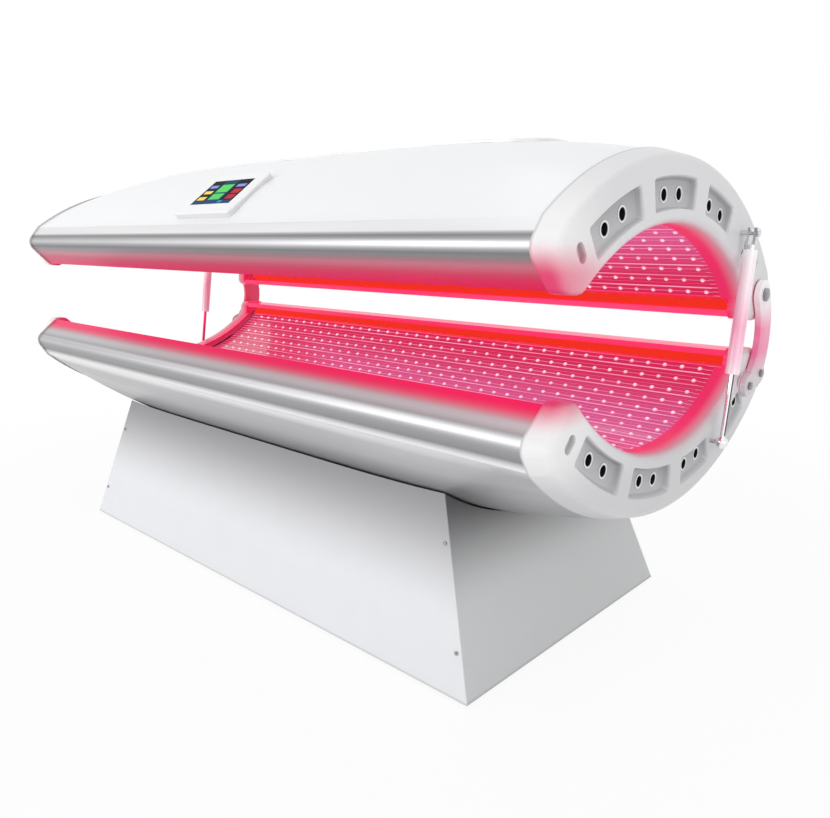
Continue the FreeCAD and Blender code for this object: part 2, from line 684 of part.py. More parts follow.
def end_cap(half):
    cap = cap_blank(half)
    inner = mm("cap_lip_radius")
    spread = mm_of("seam_angle - cap_lip_inset")
    depth = mm("cap_lip_depth")
    lip = sector_solid(half, inner, mm("acrylic_radius"), -spread, spread, end_x - depth, depth)
    front = -mm_of("seam_angle - cavity_front_inset")
    rear = mm_of("seam_angle - cavity_rear_inset")
    wall = mm("cap_wall")
    outer = mm_of("cap_radius - cap_draft - cap_wall")
    cavity = sector_solid(half, inner + wall, outer, front, rear, end_x, mm("cavity_depth"))
    tools = [cavity, tip_pocket(half)] + pocket_solids(half)
    vent_depth = mm("pocket_depth") + mm("vent_cup_depth") + mm("vent_cup_wall")
    for angle in vent_angles():
        tools.append(hole_x(half.polar(mm("vent_circle"), angle), mm("vent_radius"), vent_depth))
    if half is bed:
        tools.append(hole_x(lower_stud(), mm("stud_radius"), mm("stud_root")))
        pad = foot_outline(mm("arm_foot") + mm("pad_margin"), face_x).extrude(V(mm("foot_pad"), 0, 0))
        cap = cap.fuse(pad)
        for centre in foot_bolts():
            hole = hole_x(centre, mm("bolt_radius"), mm("bolt_grip"))
            tools.append(hole)
            tools.append(hole.translated(V(mm("foot_pad"), 0, 0)))
    else:
        tools.append(hole_x(upper_stud(), mm("stud_radius"), mm("stud_root")))
        tools.append(hole_x(pivot, mm("bush_radius"), mm("bush_length")))
    cap = cap.fuse(lip).cut(tools).removeSplitter()
    if half is bed:
        return cap
    # The canopy's caps are moulded in two sections, which meet between the vents of a pocket
    split = mm("pocket_near")
    behind = sector_solid(half, inner / 2, 2 * outer, split, split + 90, 0, 2 * face_x)
    return Part.makeCompound([cap.cut(behind), cap.common(behind)])


# Hinge arms, their bolts, pins and bushes

def foot_bolts():
    front = bed.polar(mm_of("vent_circle - foot_front_offset"), mm_of("seam_angle - foot_front_inset"))
    rear = bed.polar(mm_of("vent_circle + foot_rear_offset"), mm_of("seam_angle + foot_rear_past"))
    return front, rear


def foot_outline(radius, x):
    # Face with round ends through both foot bolts
    one, other = (point + V(x, 0, 0) for point in foot_bolts())
    along = (other - one).normalize()
    across = V(0, -along.z, along.y) * radius
    return Part.Face(Part.Wire([
        line(one + across, other + across),
        arc(other + across, other + along * radius, other - across),
        line(other - across, one - across),
        arc(one - across, one - along * radius, one + across),
    ]))


def arm_shape():
    x = face_x + mm("foot_pad")
    depth = V(mm("arm_wall"), 0, 0)
    bolts = foot_bolts()
    foot = (bolts[0] + bolts[1]) * 0.5
    eye = pivot
    upwards = (eye - foot).normalize()
    waist = (foot + eye) * 0.5 + V(0, upwards.z, -upwards.y) * mm("arm_bow")
    bow = Part.Circle(foot, waist, eye)
    half_width = mm("arm_width") / 2
    sides = []
    for radius in (bow.Radius - half_width, bow.Radius + half_width):
        sides.append([bow.Center + (point - bow.Center).normalize() * radius + V(x, 0, 0)
                      for point in (foot, waist, eye)])
    inner, outer = sides
    edges = [arc(*inner), line(inner[2], outer[2]), arc(*outer[::-1]), line(outer[0], inner[0])]
    limb = Part.Face(Part.Wire(edges))
    tip = Part.Face(Part.Wire(Part.Circle(eye + V(x, 0, 0), V(1, 0, 0), half_width).toShape()))
    outlines = [limb, tip, foot_outline(mm("arm_foot"), x)]
    solids = [outline.extrude(depth) for outline in outlines]
    plate = solids[0].fuse(solids[1:]).removeSplitter()
    bored = [(point, mm("bolt_radius")) for point in bolts]
    bored.append((eye, mm("pin_radius") - mm("running_gap")))
    holes = [Part.makeCylinder(radius, depth.x, point + V(x, 0, 0), V(1, 0, 0)) for point, radius in bored]
    return plate.cut(holes)


def hinge_pieces():
    outside = face_x + mm("foot_pad") + mm("arm_wall")
    right_arm = node(made("hinge_arm_right", arm_shape()))
    node(mirrored("hinge_arm_left", right_arm))
    bolts = []
    for number, point in enumerate(foot_bolts(), start=1):
        head = primitive("Prism", f"foot_bolt_head_{number}",
                         {"Circumradius": "bolt_head", "Height": "bolt_head_wall"},
                         point + V(outside, 0, 0), ALONG_X)
        head.Polygon = 6
        start = point + V(face_x - mm("bolt_grip"), 0, 0)
        shank = rod_x(f"foot_bolt_shank_{number}", "bolt_radius", "bolt_grip + foot_pad + arm_wall", start)
        bolts.append(join(f"foot_bolt_{number}", [head, shank]))
    right_bolts = group("foot_bolts_right", bolts)
    node(group("hinge_arm_bolts", [right_bolts, mirrored("foot_bolts_left", right_bolts)]))
    eye = pivot
    head = rod_x("hinge_pin_head", "pin_head", "pin_head_wall", eye + V(outside, 0, 0))
    shank = rod_x("hinge_pin_shank", "pin_radius - running_gap", "bush_length + foot_pad + arm_wall",
                  eye + V(face_x - mm("bush_length"), 0, 0))
    right_pin = join("hinge_pin_right", [head, shank])
    node(group("hinge_pins", [right_pin, mirrored("hinge_pin_left", right_pin)]))
    start = eye + V(face_x - mm("bush_length"), 0, 0)
    sleeve = rod_x("bush_sleeve", "bush_radius", "bush_length", start, canopy_pose)
    flange = rod_x("bush_rim", "bush_flange", "bush_flange_wall", eye + V(face_x, 0, 0), canopy_pose)
    bore = rod_x("bush_bore", "pin_radius", "bush_length + bush_flange_wall", start, canopy_pose)
    right_bush = cut("bush_right", join("bush_body", [sleeve, flange]), [bore])
    node(group("pivot_bushes", [right_bush, mirrored("bush_left", right_bush)]))


# Gas struts and their studs

def lower_stud():
    angle = mm_of("pocket_near + pocket_half + lower_stud_past")
    return bed.polar(mm_of("vent_circle - lower_stud_offset"), angle)


def upper_stud():
    angle = mm_of("pocket_near + pocket_half + upper_stud_past")
    return canopy.polar(mm_of("vent_circle + upper_stud_offset"), angle)


def strut_pieces():
    strut_x = face_x + mm("strut_gap")
    lower = lower_stud() + V(strut_x, 0, 0)
    upper_shut = upper_stud() + V(strut_x, 0, 0)
    upper = canopy_pose.multVec(upper_shut)
    length = (upper - lower).Length
    lean = math.degrees(math.atan2(upper.y - lower.y, upper.z - lower.z))
    pose = FreeCAD.Placement(lower, FreeCAD.Rotation(V(-1, 0, 0), lean))

    root = V(-mm("strut_gap") - mm("stud_root"), 0, 0)
    stem = rod_x("lower_stem", "stud_radius", "strut_gap + stud_root", lower + root)
    ball = primitive("Sphere", "lower_ball", {"Radius": "ball_radius"}, lower)
    right_stud = join("lower_stud_right", [stem, ball])
    node(group("lower_ball_studs", [right_stud, mirrored("lower_stud_left", right_stud)]))

    fork = "strut_gap + stud_root + clevis_gap * 0.5 + prong_wall + joint_gap"
    start = upper_shut + root
    stem = rod_x("upper_stem", "stud_radius", fork, start, canopy_pose)
    cap = rod_x("upper_head", "stud_head", "stud_head_wall", start + V(mm_of(fork), 0, 0), canopy_pose)
    right_stud = join("upper_stud_right", [stem, cap])
    node(group("upper_studs", [right_stud, mirrored("upper_stud_left", right_stud)]))

    bar = primitive("Cylinder", "rod_bar", {"Radius": "rod_radius", "Height": "rod_length"}, pose=pose)
    piston = primitive("Cylinder", "rod_piston", {"Radius": "piston_radius", "Height": "piston_length"},
                       V(0, 0, mm("rod_length") - mm("piston_length")), pose=pose)
    socket = primitive("Sphere", "rod_socket", {"Radius": "socket_radius"}, pose=pose)
    hollow = primitive("Sphere", "rod_hollow", {"Radius": "ball_radius + joint_gap"}, pose=pose)
    mouth = rod_x("rod_mouth", "stud_radius + 3 * joint_gap", "socket_radius",
                  V(-mm("socket_radius"), 0, 0), pose)
    rod = node(cut("strut_rod_right", join("rod_body", [bar, piston, socket]), [hollow, mouth]))
    node(mirrored("strut_rod_left", rod))

    tube_end = length - mm("clevis_length")
    mouth_at = V(0, 0, mm("tube_mouth"))
    run = tube_end - mm("tube_mouth")
    shell = primitive("Cylinder", "tube_shell", {"Radius": "tube_radius"}, mouth_at, pose=pose)
    shell.Height = run
    bore = primitive("Cylinder", "tube_hollow", {"Radius": "tube_bore"}, mouth_at, pose=pose)
    bore.Height = run - mm("tube_head")
    tube = node(cut("strut_tube_right", shell, [bore]))
    node(mirrored("strut_tube_left", tube))

    ring = primitive("Cylinder", "gland_ring", {"Radius": "tube_bore", "Height": "gland_length"},
                     mouth_at, pose=pose)
    hole = primitive("Cylinder", "gland_hole", {"Radius": "gland_bore", "Height": "gland_length"},
                     mouth_at, pose=pose)
    gland = node(cut("strut_gland_right", ring, [hole]))
    node(mirrored("strut_gland_left", gland))

    foot = primitive("Cylinder", "clevis_foot", {"Radius": "tube_bore", "Height": "clevis_base"},
                     V(0, 0, tube_end), pose=pose)
    solids = [foot]
    for side in (-1, 1):
        middle = side * (mm("clevis_gap") + mm("prong_wall")) / 2
        reach = "clevis_length - clevis_base + prong_end"
        centre = V(middle, 0, tube_end + mm("clevis_base") + mm_of(reach) / 2)
        solids.append(block(f"prong_{'inner' if side < 0 else 'outer'}", "prong_wall", "prong_width", reach,
                            centre, pose=pose))
    eye = rod_x("clevis_eye", "stud_radius + joint_gap", "clevis_gap + 2 * prong_wall",
                V(-mm_of("clevis_gap * 0.5 + prong_wall"), 0, length), pose)
    clevis = node(cut("strut_clevis_right", join("clevis_body", solids), [eye]))
    node(mirrored("strut_clevis_left", clevis))


# Lamp boards: one strip, copied round each tray

def lamp_strip():
    body = doc.addObject("PartDesign::Body", "lamp_strip")
    columns = int((mm("body_length") - 2 * mm("led_margin")) / mm("led_pitch")) + 1
    span = f"led_pitch * {columns - 1}"
    plan = sketch_on(body, "board_plan", "XY_Plane")
    half_x = mm_of(span) / 2 + mm("board_margin")
    half_y = mm("board_width") / 2
    corners = [V(-half_x, -half_y, 0), V(half_x, -half_y, 0), V(half_x, half_y, 0), V(-half_x, half_y, 0)]
    plan.addGeometry([Part.LineSegment(corners[i], corners[(i + 1) % 4]) for i in range(4)])
    plan.addConstraint([Sketcher.Constraint("Coincident", i, 2, (i + 1) % 4, 1) for i in range(4)])
    plan.addConstraint([
        Sketcher.Constraint("Horizontal", 0),
        Sketcher.Constraint("Vertical", 1),
        Sketcher.Constraint("Horizontal", 2),
        Sketcher.Constraint("Symmetric", 0, 1, 1, 2, -1, 1),
    ])
    length = plan.addConstraint(Sketcher.Constraint("DistanceX", 0, 1, 0, 2, 2 * half_x))
    plan.setExpression(f"Constraints[{length}]", bound(span + " + 2 * board_margin"))
    width = plan.addConstraint(Sketcher.Constraint("DistanceY", 1, 1, 1, 2, 2 * half_y))
    plan.setExpression(f"Constraints[{width}]", bound("board_width"))
    board = body.newObject("PartDesign::Pad", "board")
    board.Profile = plan
    board.setExpression("Length", bound("board_wall"))
    spot = sketch_on(body, "led_plan", "XY_Plane")
    start = -mm_of(span) / 2
    spot.addGeometry(Part.Circle(V(start, 0, 0), V(0, 0, 1), mm("led_radius")))
    spot.addConstraint(Sketcher.Constraint("PointOnObject", 0, 3, -1))
    radius = spot.addConstraint(Sketcher.Constraint("Radius", 0, mm("led_radius")))
    spot.setExpression(f"Constraints[{radius}]", bound("led_radius"))
    place = spot.addConstraint(Sketcher.Constraint("DistanceX", 0, 3, -1, 1, -start))
    spot.setExpression(f"Constraints[{place}]", bound(span + " / 2"))
    led = body.newObject("PartDesign::Pad", "led")
    led.Profile = spot
    led.setExpression("Length", bound("board_wall + led_height"))
    doc.recompute()
    leds = body.newObject("PartDesign::LinearPattern", "leds")
    leds.Originals = [led]
    leds.Direction = (spot, ["H_Axis"])
    leds.setExpression("Length", bound(span))
    leds.Occurrences = columns
    body.Tip = leds
    doc.recompute()
    return body.Shape


def lamp_boards(half, strip):
    back = math.sqrt(mm("tray_radius") ** 2 - (mm("board_width") / 2) ** 2)
    rows = 2 * int(mm_of("seam_angle - row_margin") / mm("row_pitch")) + 1
    strips = []
    for number in range(rows):
        angle = (number - (rows - 1) / 2) * mm("row_pitch")
        copy = strip.copy()
        copy.Placement = FreeCAD.Placement(half.polar(back, angle), half.facing(angle))
        strips.append(copy)
    return made(half.name + "_lamp_boards", Part.makeCompound(strips), half.pose)


# Frames with their fans

def fan_axis(half, x):
    return half.polar(mm("fan_circle"), 0, x)


def frame_piece(half):
    name = half.name + "_frame"
    inner = mm("frame_radius")
    skin = mm("cover_wall") if half.mirrored_up else mm("skin_wall")
    outer = mm("skin_radius") - skin
    inside = arch_loft(half, -skin - mm("keel_gap"), 0.0)
    reach = outer + mm("crown") + mm("belly_drop")
    angle = mm("rib_angle")
    keel = mm("keel_angle")
    wall = mm("rib_wall")
    end = end_x - mm("rib_inset")
    stations = (-end, -mm("fan_station"), 0.0, mm("fan_station"), end)
    ribs = [sector_solid(half, inner, outer, -angle, angle, x - wall / 2, wall) for x in stations]
    keels = [sector_solid(half, inner, reach, -keel, keel, x - wall / 2, wall).common(inside)
             for x in stations[1:-1]]
    plates = made(name + "_ribs", ribs[0].multiFuse(ribs[1:] + keels), half.pose)
    beams = []
    bores = []
    for side in (-1, 1):
        centre = half.polar(mm("fan_circle"), side * mm("beam_angle"))
        run = "body_length - 2 * rib_inset - rib_wall"
        hand = "front" if side < 0 else "rear"
        beams.append(block(f"{name}_beam_{hand}", run, "beam_side", "beam_side", centre, pose=half.pose))
        bores.append(block(f"{name}_beam_bore_{hand}", run, "beam_side - 2 * beam_wall",
                           "beam_side - 2 * beam_wall", centre, pose=half.pose))
    ducts = [rod_x(f"{name}_duct_{hand}", "fan_bore", "rib_wall", fan_axis(half, x - wall / 2), half.pose)
             for hand, x in (("left", -mm("fan_station")), ("right", mm("fan_station")))]
    node(cut(name, join(name + "_weldment", [plates] + beams), bores + ducts))


def fan_pieces(half):
    name = half.name + "_fan"
    pose = half.pose
    near = mm("fan_station") + mm("rib_wall") / 2
    axis = fan_axis(half, near)
    middle = axis + V(mm("fan_depth") / 2, 0, 0)
    case = block(name + "_case", "fan_depth", "fan_side", "fan_side", middle, pose=pose)
    duct = rod_x(name + "_duct", "fan_bore", "fan_depth", axis, pose)
    spokes = []
    for number in range(3):
        turn = FreeCAD.Rotation(V(1, 0, 0), 120 * number + 30)
        spokes.append(block(f"{name}_spoke_{number}", "motor_plate", "fan_side", "motor_plate",
                            axis + V(mm("motor_plate") / 2, 0, 0), turn, pose))
    ring = overlap(name + "_spider", join(name + "_spokes", spokes),
                   rod_x(name + "_spoke_limit", "fan_bore + fan_rim * 0.5", "motor_plate", axis, pose))
    plate = rod_x(name + "_motor_plate", "hub_radius", "motor_plate", axis, pose)
    axle = rod_x(name + "_axle", "axle_radius - running_gap", "fan_depth - rotor_gap", axis, pose)
    housing = join(name + "_housing_right", [cut(name + "_shell", case, [duct]), ring, plate, axle])
    node(group(name + "_housings", [housing, mirrored(name + "_housing_left", housing)]))
    rotor = node(made(name + "_rotor_right", rotor_shape(), pose.multiply(FreeCAD.Placement(axis, UNTURNED))))
    node(mirrored(name + "_rotor_left", rotor))


def rotor_shape():
    # Hub and blades about the X axis, clear of the motor plate
    start = mm_of("motor_plate + rotor_gap")
    hub = Part.makeCylinder(mm("hub_radius"), mm("hub_length"), V(start, 0, 0), V(1, 0, 0))
    root = mm_of("hub_radius - blade_sink")
    chord = mm("blade_chord")
    blades = []
    count = int(mm("blade_count"))
    for number in range(count):
        blade = Part.makeBox(chord, mm("blade_wall"), mm("fan_tip"), V(-chord / 2, 0, 0))
        blade = blade.cut(Part.makeBox(chord, mm("fan_side"), root, V(-chord / 2, -mm("fan_side") / 2, 0)))
        pitch = FreeCAD.Rotation(V(0, 0, 1), mm("blade_pitch"))
        round_hub = FreeCAD.Rotation(V(1, 0, 0), number * 360 / count)
        blade.Placement = FreeCAD.Placement(V(start + mm("hub_length") / 2, 0, 0), round_hub.multiply(pitch))
        blades.append(blade)
    wheel = hub.fuse(blades)
    limit = Part.makeCylinder(mm("fan_tip"), mm("hub_length"), V(start, 0, 0), V(1, 0, 0))
    bore = Part.makeCylinder(mm("axle_radius"), mm("fan_depth"), V(), V(1, 0, 0))
    return wheel.common(limit).cut(bore).removeSplitter()


# Cups in the vents of the end caps

def vent_cups(half):
    depth = mm("vent_cup_depth")
    wall = mm("vent_cup_wall")
    floor_x = face_x - mm("pocket_depth")
    cups = []
    for number, angle in enumerate(vent_angles(), start=1):
        centre = half.polar(mm("vent_circle"), angle, floor_x)
        name = f"{half.name}_vent_{number}"
        back = centre - V(depth + wall, 0, 0)
        shell = rod_x(name + "_shell", "vent_radius", "vent_cup_depth + vent_cup_wall", back, half.pose)
        rim = rod_x(name + "_rim", "vent_radius + vent_rim", "vent_cup_wall", centre, half.pose)
        bore = rod_x(name + "_bore", "vent_radius - vent_cup_wall", "vent_cup_depth + vent_cup_wall",
                     centre - V(depth, 0, 0), half.pose)
        cups.append(cut(name, join(name + "_body", [shell, rim]), [bore]))
    right = group(half.name + "_vents_right", cups)
    node(group(half.name + "_vent_cups", [right, mirrored(half.name + "_vents_left", right)]))


# Cover of the canopy, its raised panel and the screen

def rounded_block(length, width, height, radius):
    # Block centred on its foot with rounded upright edges
    solid = Part.makeBox(length, width, height, V(-length / 2, -width / 2, 0))
    upright = [edge for edge in solid.Edges if abs(edge.tangentAt(edge.FirstParameter).z) > 0.9]
    return solid.makeFillet(radius, upright)


def cover_pieces():
    filled = arch_loft(canopy, 0.0, 0.0)
    node(made("canopy_cover", arch_loft(canopy, 0.0, mm("cover_wall")), canopy_pose))
    height = mm("skin_radius")
    plan = rounded_block(mm("top_panel_length"), mm("top_panel_width"), height, mm("top_panel_round"))
    plan.translate(canopy.polar(height / 2, 0))
    raised = arch_loft(canopy, mm("panel_rise"), 0.0).common(plan).cut(filled)
    node(made("canopy_top_panel", raised, canopy_pose))

    seam, top, far_seam = arch_points(canopy, mm("screen_x"), 0.0)
    section = Part.Circle(seam, top, far_seam)
    centre = section.Center
    lean = math.atan2(centre.y - seam.y, seam.z - centre.z) - mm("screen_rise") / section.Radius
    outwards = V(0, -math.sin(lean), math.cos(lean))
    spot = centre + outwards * section.Radius
    seat = FreeCAD.Placement(spot, FreeCAD.Rotation(V(1, 0, 0), math.degrees(lean)))
    root = mm("bezel_root")
    rise = mm("bezel_rise")
    housing = rounded_block(mm("bezel_width"), mm("bezel_height"), root + rise, mm("bezel_round"))
    rim = [edge for edge in housing.Edges if all(abs(v.Z - root - rise) < 1e-6 for v in edge.Vertexes)]
    housing = housing.makeFillet(mm("bezel_round") * 0.3, rim)
    wide = mm("display_width")
    high = mm("display_height")
    thick = mm("display_wall")
    glass = Part.makeBox(wide, high, thick)
    glass.translate(V(-wide / 2, mm("display_shift") - high / 2, rise - thick))
    housing.translate(V(0, 0, -root))
    housing = housing.cut(glass)
    housing.Placement = seat
    glass.Placement = seat.multiply(glass.Placement)
    node(made("screen_housing", housing.cut(filled), canopy_pose))
    node(made("screen_glass", glass, canopy_pose))


# Base with its frame, panels and electrics

def frustum(name, grow_x, grow_y):
    # Tapered block of the base, with its length and width changed by the given terms
    sizes = {"Ymin": "floor_gap", "Ymax": "base_rise"}
    for level, height in (("", "floor_gap"), ("2", "base_rise")):
        half_x = f"base_length / 2 - {height} * tan(base_end_lean) {grow_x}"
        half_y = f"base_width / 2 - {height} * tan(base_front_lean) {grow_y}"
        sizes[f"X{level}max"] = half_x
        sizes[f"X{level}min"] = f"-({half_x})"
        sizes[f"Z{level}max"] = half_y
        sizes[f"Z{level}min"] = f"-({half_y})"
    return primitive("Wedge", name, sizes, turn=FreeCAD.Rotation(V(1, 0, 0), 90))


def side_y(z):
    # Outside of the front and rear panels at a height
    return mm("base_width") / 2 - z * math.tan(math.radians(mm("base_front_lean")))


def end_at(z):
    # Outside of the end panels at a height
    return mm("base_length") / 2 - z * math.tan(math.radians(mm("base_end_lean")))


def side_pose(x, side, z):
    # Frame on the front or rear panel with Z outwards
    tilt = mm("base_front_lean")
    turn = FreeCAD.Rotation(V(1, 0, 0), -90 * side + tilt * side)
    return FreeCAD.Placement(V(x, side * side_y(z), z), turn)


def panel_screws(side):
    # Screws near both ends of the front or rear panel: whole screws and their shanks
    name = "front" if side < 0 else "rear"
    screws = []
    shanks = []
    for level in ("screw_low", "screw_high"):
        for hand in (-1, 1):
            pose = side_pose(hand * (end_at(mm(level)) - mm("screw_edge")), side, mm(level))
            tag = f"{level}_{name}_{'left' if hand < 0 else 'right'}"
            head = primitive("Cylinder", tag + "_head", {"Radius": "screw_radius", "Height": "screw_head"},
                             pose=pose)
            shank = primitive("Cylinder", tag + "_shank", {"Radius": "screw_shank", "Height": "screw_grip"},
                              V(0, 0, -mm("screw_grip")), pose=pose)
            screws.append(join(tag, [head, shank]))
            shanks.append(shank)
    return screws, shanks


def half_space(name, x, y):
    # Block on one side of the middle of the base
    centre = V(x * mm("base_length") / 2, y * mm("base_width") / 2, mm("base_rise") / 2)
    length = "base_length" if x else "2 * base_length"
    width = "base_width" if y else "2 * base_width"
    return block(name, length, width, "base_rise", centre)


def base_panels(inlet_hole):
    outer = frustum("base_outer", "", "")
    between = frustum("base_between", "+ base_rise", "- panel_wall / cos(base_front_lean)")
    core = frustum("base_core", "- panel_wall / cos(base_end_lean)", "+ base_rise")
    belly = made("belly_clearance", arch_loft(bed, mm("belly_gap"), 0.0))
    front_screws, front_shanks = panel_screws(-1)
    rear_screws, rear_shanks = panel_screws(1)
    sides = cut("base_sides", outer, [between, belly])
    ends = cut("base_ends", overlap("base_ends_blank", outer, between), [core, belly])
    front = overlap("base_front_blank", sides, half_space("front_half", 0, -1))
    rear = overlap("base_rear_blank", sides, half_space("rear_half", 0, 1))
    node(cut("base_front_panel", front, front_shanks))
    node(cut("base_rear_panel", rear, rear_shanks + [inlet_hole]))
    node(overlap("base_left_panel", ends, half_space("left_half", -1, 0)))
    node(overlap("base_right_panel", ends, half_space("right_half", 1, 0)))
    node(group("base_panel_screws", front_screws + rear_screws))


def base_frame():
    bar = mm("bar_side")
    deck = mm("foot_height") + bar
    half_x = mm("base_length") / 2 - mm("bar_inset")
    half_y = mm("base_width") / 2 - mm("bar_inset")
    level = mm("foot_height") + bar / 2
    long = "base_length - 2 * bar_inset"
    wide = "base_width - 2 * bar_inset"
    pieces = [block("shelf", long, wide, "shelf_wall", V(0, 0, deck + mm("shelf_wall") / 2))]
    belly = made("saddle_seat", arch_loft(bed, 0.0, 0.0))
    leg_x = mm("base_length") / 2 - mm("leg_end_inset")
    top_z = mm_of("saddle_foot + saddle_height")
    reach = side_y(top_z) - mm("saddle_gap")
    saddles = []
    feet = []
    for hand, name in ((-1, "left"), (1, "right")):
        plate = Part.makeBox(mm("saddle_wall"), 2 * reach, mm("saddle_height"))
        plate.translate(V(hand * leg_x - mm("saddle_wall") / 2, -reach, mm("saddle_foot")))
        saddles.append(made("saddle_" + name, plate))
        for kind, x in (("end_bar_", half_x - bar / 2), ("cross_bar_", leg_x)):
            pieces.append(block(kind + name, "bar_side", wide, "bar_side", V(hand * x, 0, level)))
        for side, place in ((-1, "front"), (1, "rear")):
            tag = f"{place}_{name}"
            height = "saddle_foot - foot_height - bar_side - shelf_wall"
            leg_y = side * (reach - mm("leg_side_inset"))
            foot = V(hand * leg_x, leg_y, mm("saddle_foot") - mm_of(height) / 2)
            pieces.append(block("leg_" + tag, "bar_side", "bar_side", height, foot))
            corner = V(hand * (half_x - bar), side * (half_y - bar), 0)
            size = {"Radius": "foot_radius", "Height": "foot_height"}
            feet.append(primitive("Cylinder", "foot_" + tag, size, corner))
    for side, place in ((-1, "front"), (1, "rear")):
        centre = V(0, side * (half_y - bar / 2), level)
        pieces.append(block("long_bar_" + place, long, "bar_side", "bar_side", centre))
    pieces.append(cut("saddles", join("saddle_plates", saddles), [belly]))
    node(join("base_frame", pieces))
    node(group("base_feet", feet))


def electrics():
    deck = mm_of("foot_height + bar_side + shelf_wall")
    count = int(mm("supply_count"))
    supplies = []
    for number in range(count):
        x = (number - (count - 1) / 2) * mm("supply_pitch")
        centre = V(x, mm("supply_y"), deck + mm("supply_height") / 2)
        name = f"supply_{number + 1}"
        supplies.append(block(name, "supply_length", "supply_width", "supply_height", centre))
    node(group("power_supplies", supplies))
    centre = V(0, mm("control_y"), deck + mm("control_height") / 2)
    node(block("control_box", "control_length", "control_width", "control_height", centre))


def mains_inlet():
    # Inlet with its rocker switch; gives back the cut-out for the rear panel
    pose = side_pose(mm("base_length") / 2 - mm("inlet_inset"), 1, mm("inlet_z"))
    width = "inlet_width - 2 * inlet_margin"
    height = "inlet_height - 2 * inlet_margin"
    hole = block("inlet_hole", width, height, "inlet_depth", V(0, 0, -mm("inlet_depth") / 2), pose=pose)
    flange = block("inlet_plate", "inlet_width", "inlet_height", "inlet_flange",
                   V(0, 0, mm("inlet_flange") / 2), pose=pose)
    socket = block("inlet_socket", "socket_width", "socket_height", "socket_depth",
                   V(0, mm("socket_drop"), mm("inlet_flange") - mm("socket_depth") / 2), pose=pose)
    gap = mm("rocker_gap")
    start = V(-mm("rocker_length") / 2, -mm("rocker_rise"), 0)
    well = rod_x("rocker_well", "rocker_radius + rocker_gap", "rocker_length + 2 * rocker_gap",
                 start - V(gap, 0, 0), pose)
    node(cut("mains_inlet", join("inlet_body", [hole, flange]), [socket, well]))
    drum = rod_x("rocker_drum", "rocker_radius", "rocker_length", start, pose)
    middle = (mm("rocker_face") - mm("rocker_radius")) / 2
    limit = block("rocker_limit", "rocker_length", "2 * rocker_radius", "rocker_radius + rocker_face",
                  V(0, -mm("rocker_rise"), middle), pose=pose)
    node(overlap("power_rocker", drum, limit))
    return hole


# The whole assembly

base_frame()
electrics()
base_panels(mains_inlet())
node(made("bed_belly_skin", arch_loft(bed, 0.0, mm("skin_wall"))))
cover_pieces()
strip = lamp_strip()
for half in halves:
    name = half.name
    lip_x = end_x - mm("cap_lip_depth")
    node(hollow_profile(name + "_front_nose", half, nose_wire(half, -end_x)))
    node(hollow_profile(name + "_rear_rail", half, rail_wire(half, -end_x)))
    right_cap = node(made(name + "_end_cap_right", end_cap(half), half.pose))
    node(mirrored(name + "_end_cap_left", right_cap))
    vent_cups(half)
    frame_piece(half)
    fan_pieces(half)
    node(rolled_sheet(name + "_lamp_tray", half, "tray_radius", "tray_wall", "seam_angle", "body_length"))
    node(lamp_boards(half, strip))
    node(rolled_sheet(name + "_acrylic", half, "acrylic_radius", "acrylic_wall", "lamp_angle", "body_length"))
    bar_end = mm_of("seam_angle + reflector_past")
    bar = sector_solid(half, mm("acrylic_radius") - mm("reflector_wall"), mm("acrylic_radius"),
                       bar_end - mm("reflector_span"), bar_end, -lip_x, 2 * lip_x)
    node(made(name + "_light_bar", bar, half.pose))
hinge_pieces()
strut_pieces()
doc.recompute()

# Checks, then one file for each piece
for obj in doc.Objects:
    if "Invalid" in obj.State or "Error" in obj.State:
        raise RuntimeError(f"{obj.Label} failed: {obj.State}")
os.makedirs("parts", exist_ok=True)
for obj in nodes:
    if obj.Shape.isNull() or not obj.Shape.isValid():
        raise RuntimeError(f"{obj.Label} has no valid shape")
for obj in nodes:
    obj.Shape.exportStep(f"parts/{obj.Label}.step")
    print(f"{obj.Label}: {obj.Shape.Volume / 1000:.1f} cm3, {len(obj.Shape.Solids)} solid(s)")
print(f"{len(nodes)} pieces")
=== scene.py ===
import math
import bpy
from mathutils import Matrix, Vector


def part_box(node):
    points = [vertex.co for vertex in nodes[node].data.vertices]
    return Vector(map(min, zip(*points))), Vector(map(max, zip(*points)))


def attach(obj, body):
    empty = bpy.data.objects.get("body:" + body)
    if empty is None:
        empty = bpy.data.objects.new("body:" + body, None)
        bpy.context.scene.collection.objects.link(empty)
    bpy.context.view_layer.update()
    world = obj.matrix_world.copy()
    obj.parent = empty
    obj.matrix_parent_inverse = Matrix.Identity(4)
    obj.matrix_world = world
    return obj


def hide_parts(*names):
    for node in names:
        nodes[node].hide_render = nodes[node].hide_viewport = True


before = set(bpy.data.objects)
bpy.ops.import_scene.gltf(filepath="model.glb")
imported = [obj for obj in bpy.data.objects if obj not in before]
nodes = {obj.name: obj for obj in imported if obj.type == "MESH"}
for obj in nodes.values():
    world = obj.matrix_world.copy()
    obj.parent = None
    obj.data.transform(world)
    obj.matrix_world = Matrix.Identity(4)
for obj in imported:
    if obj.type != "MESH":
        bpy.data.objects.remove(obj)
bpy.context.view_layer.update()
print("frame loaded,", len(nodes), "nodes")

# arcs that run lengthwise: their middle in metres, their lean, and 1 where up is out or -1 where down is
bedCurve = {"y": 0.0, "z": 0.954, "tilt": 0.0, "side": -1.0}
canopyCurve = {"y": -0.0441, "z": 0.3746, "tilt": math.radians(6.7), "side": 1.0}
bedNoseCurve = {"y": -0.417, "z": 0.540, "tilt": 0.0, "side": -1.0}
canopyNoseCurve = {"y": -0.410, "z": 0.8344, "tilt": math.radians(6.7), "side": 1.0}


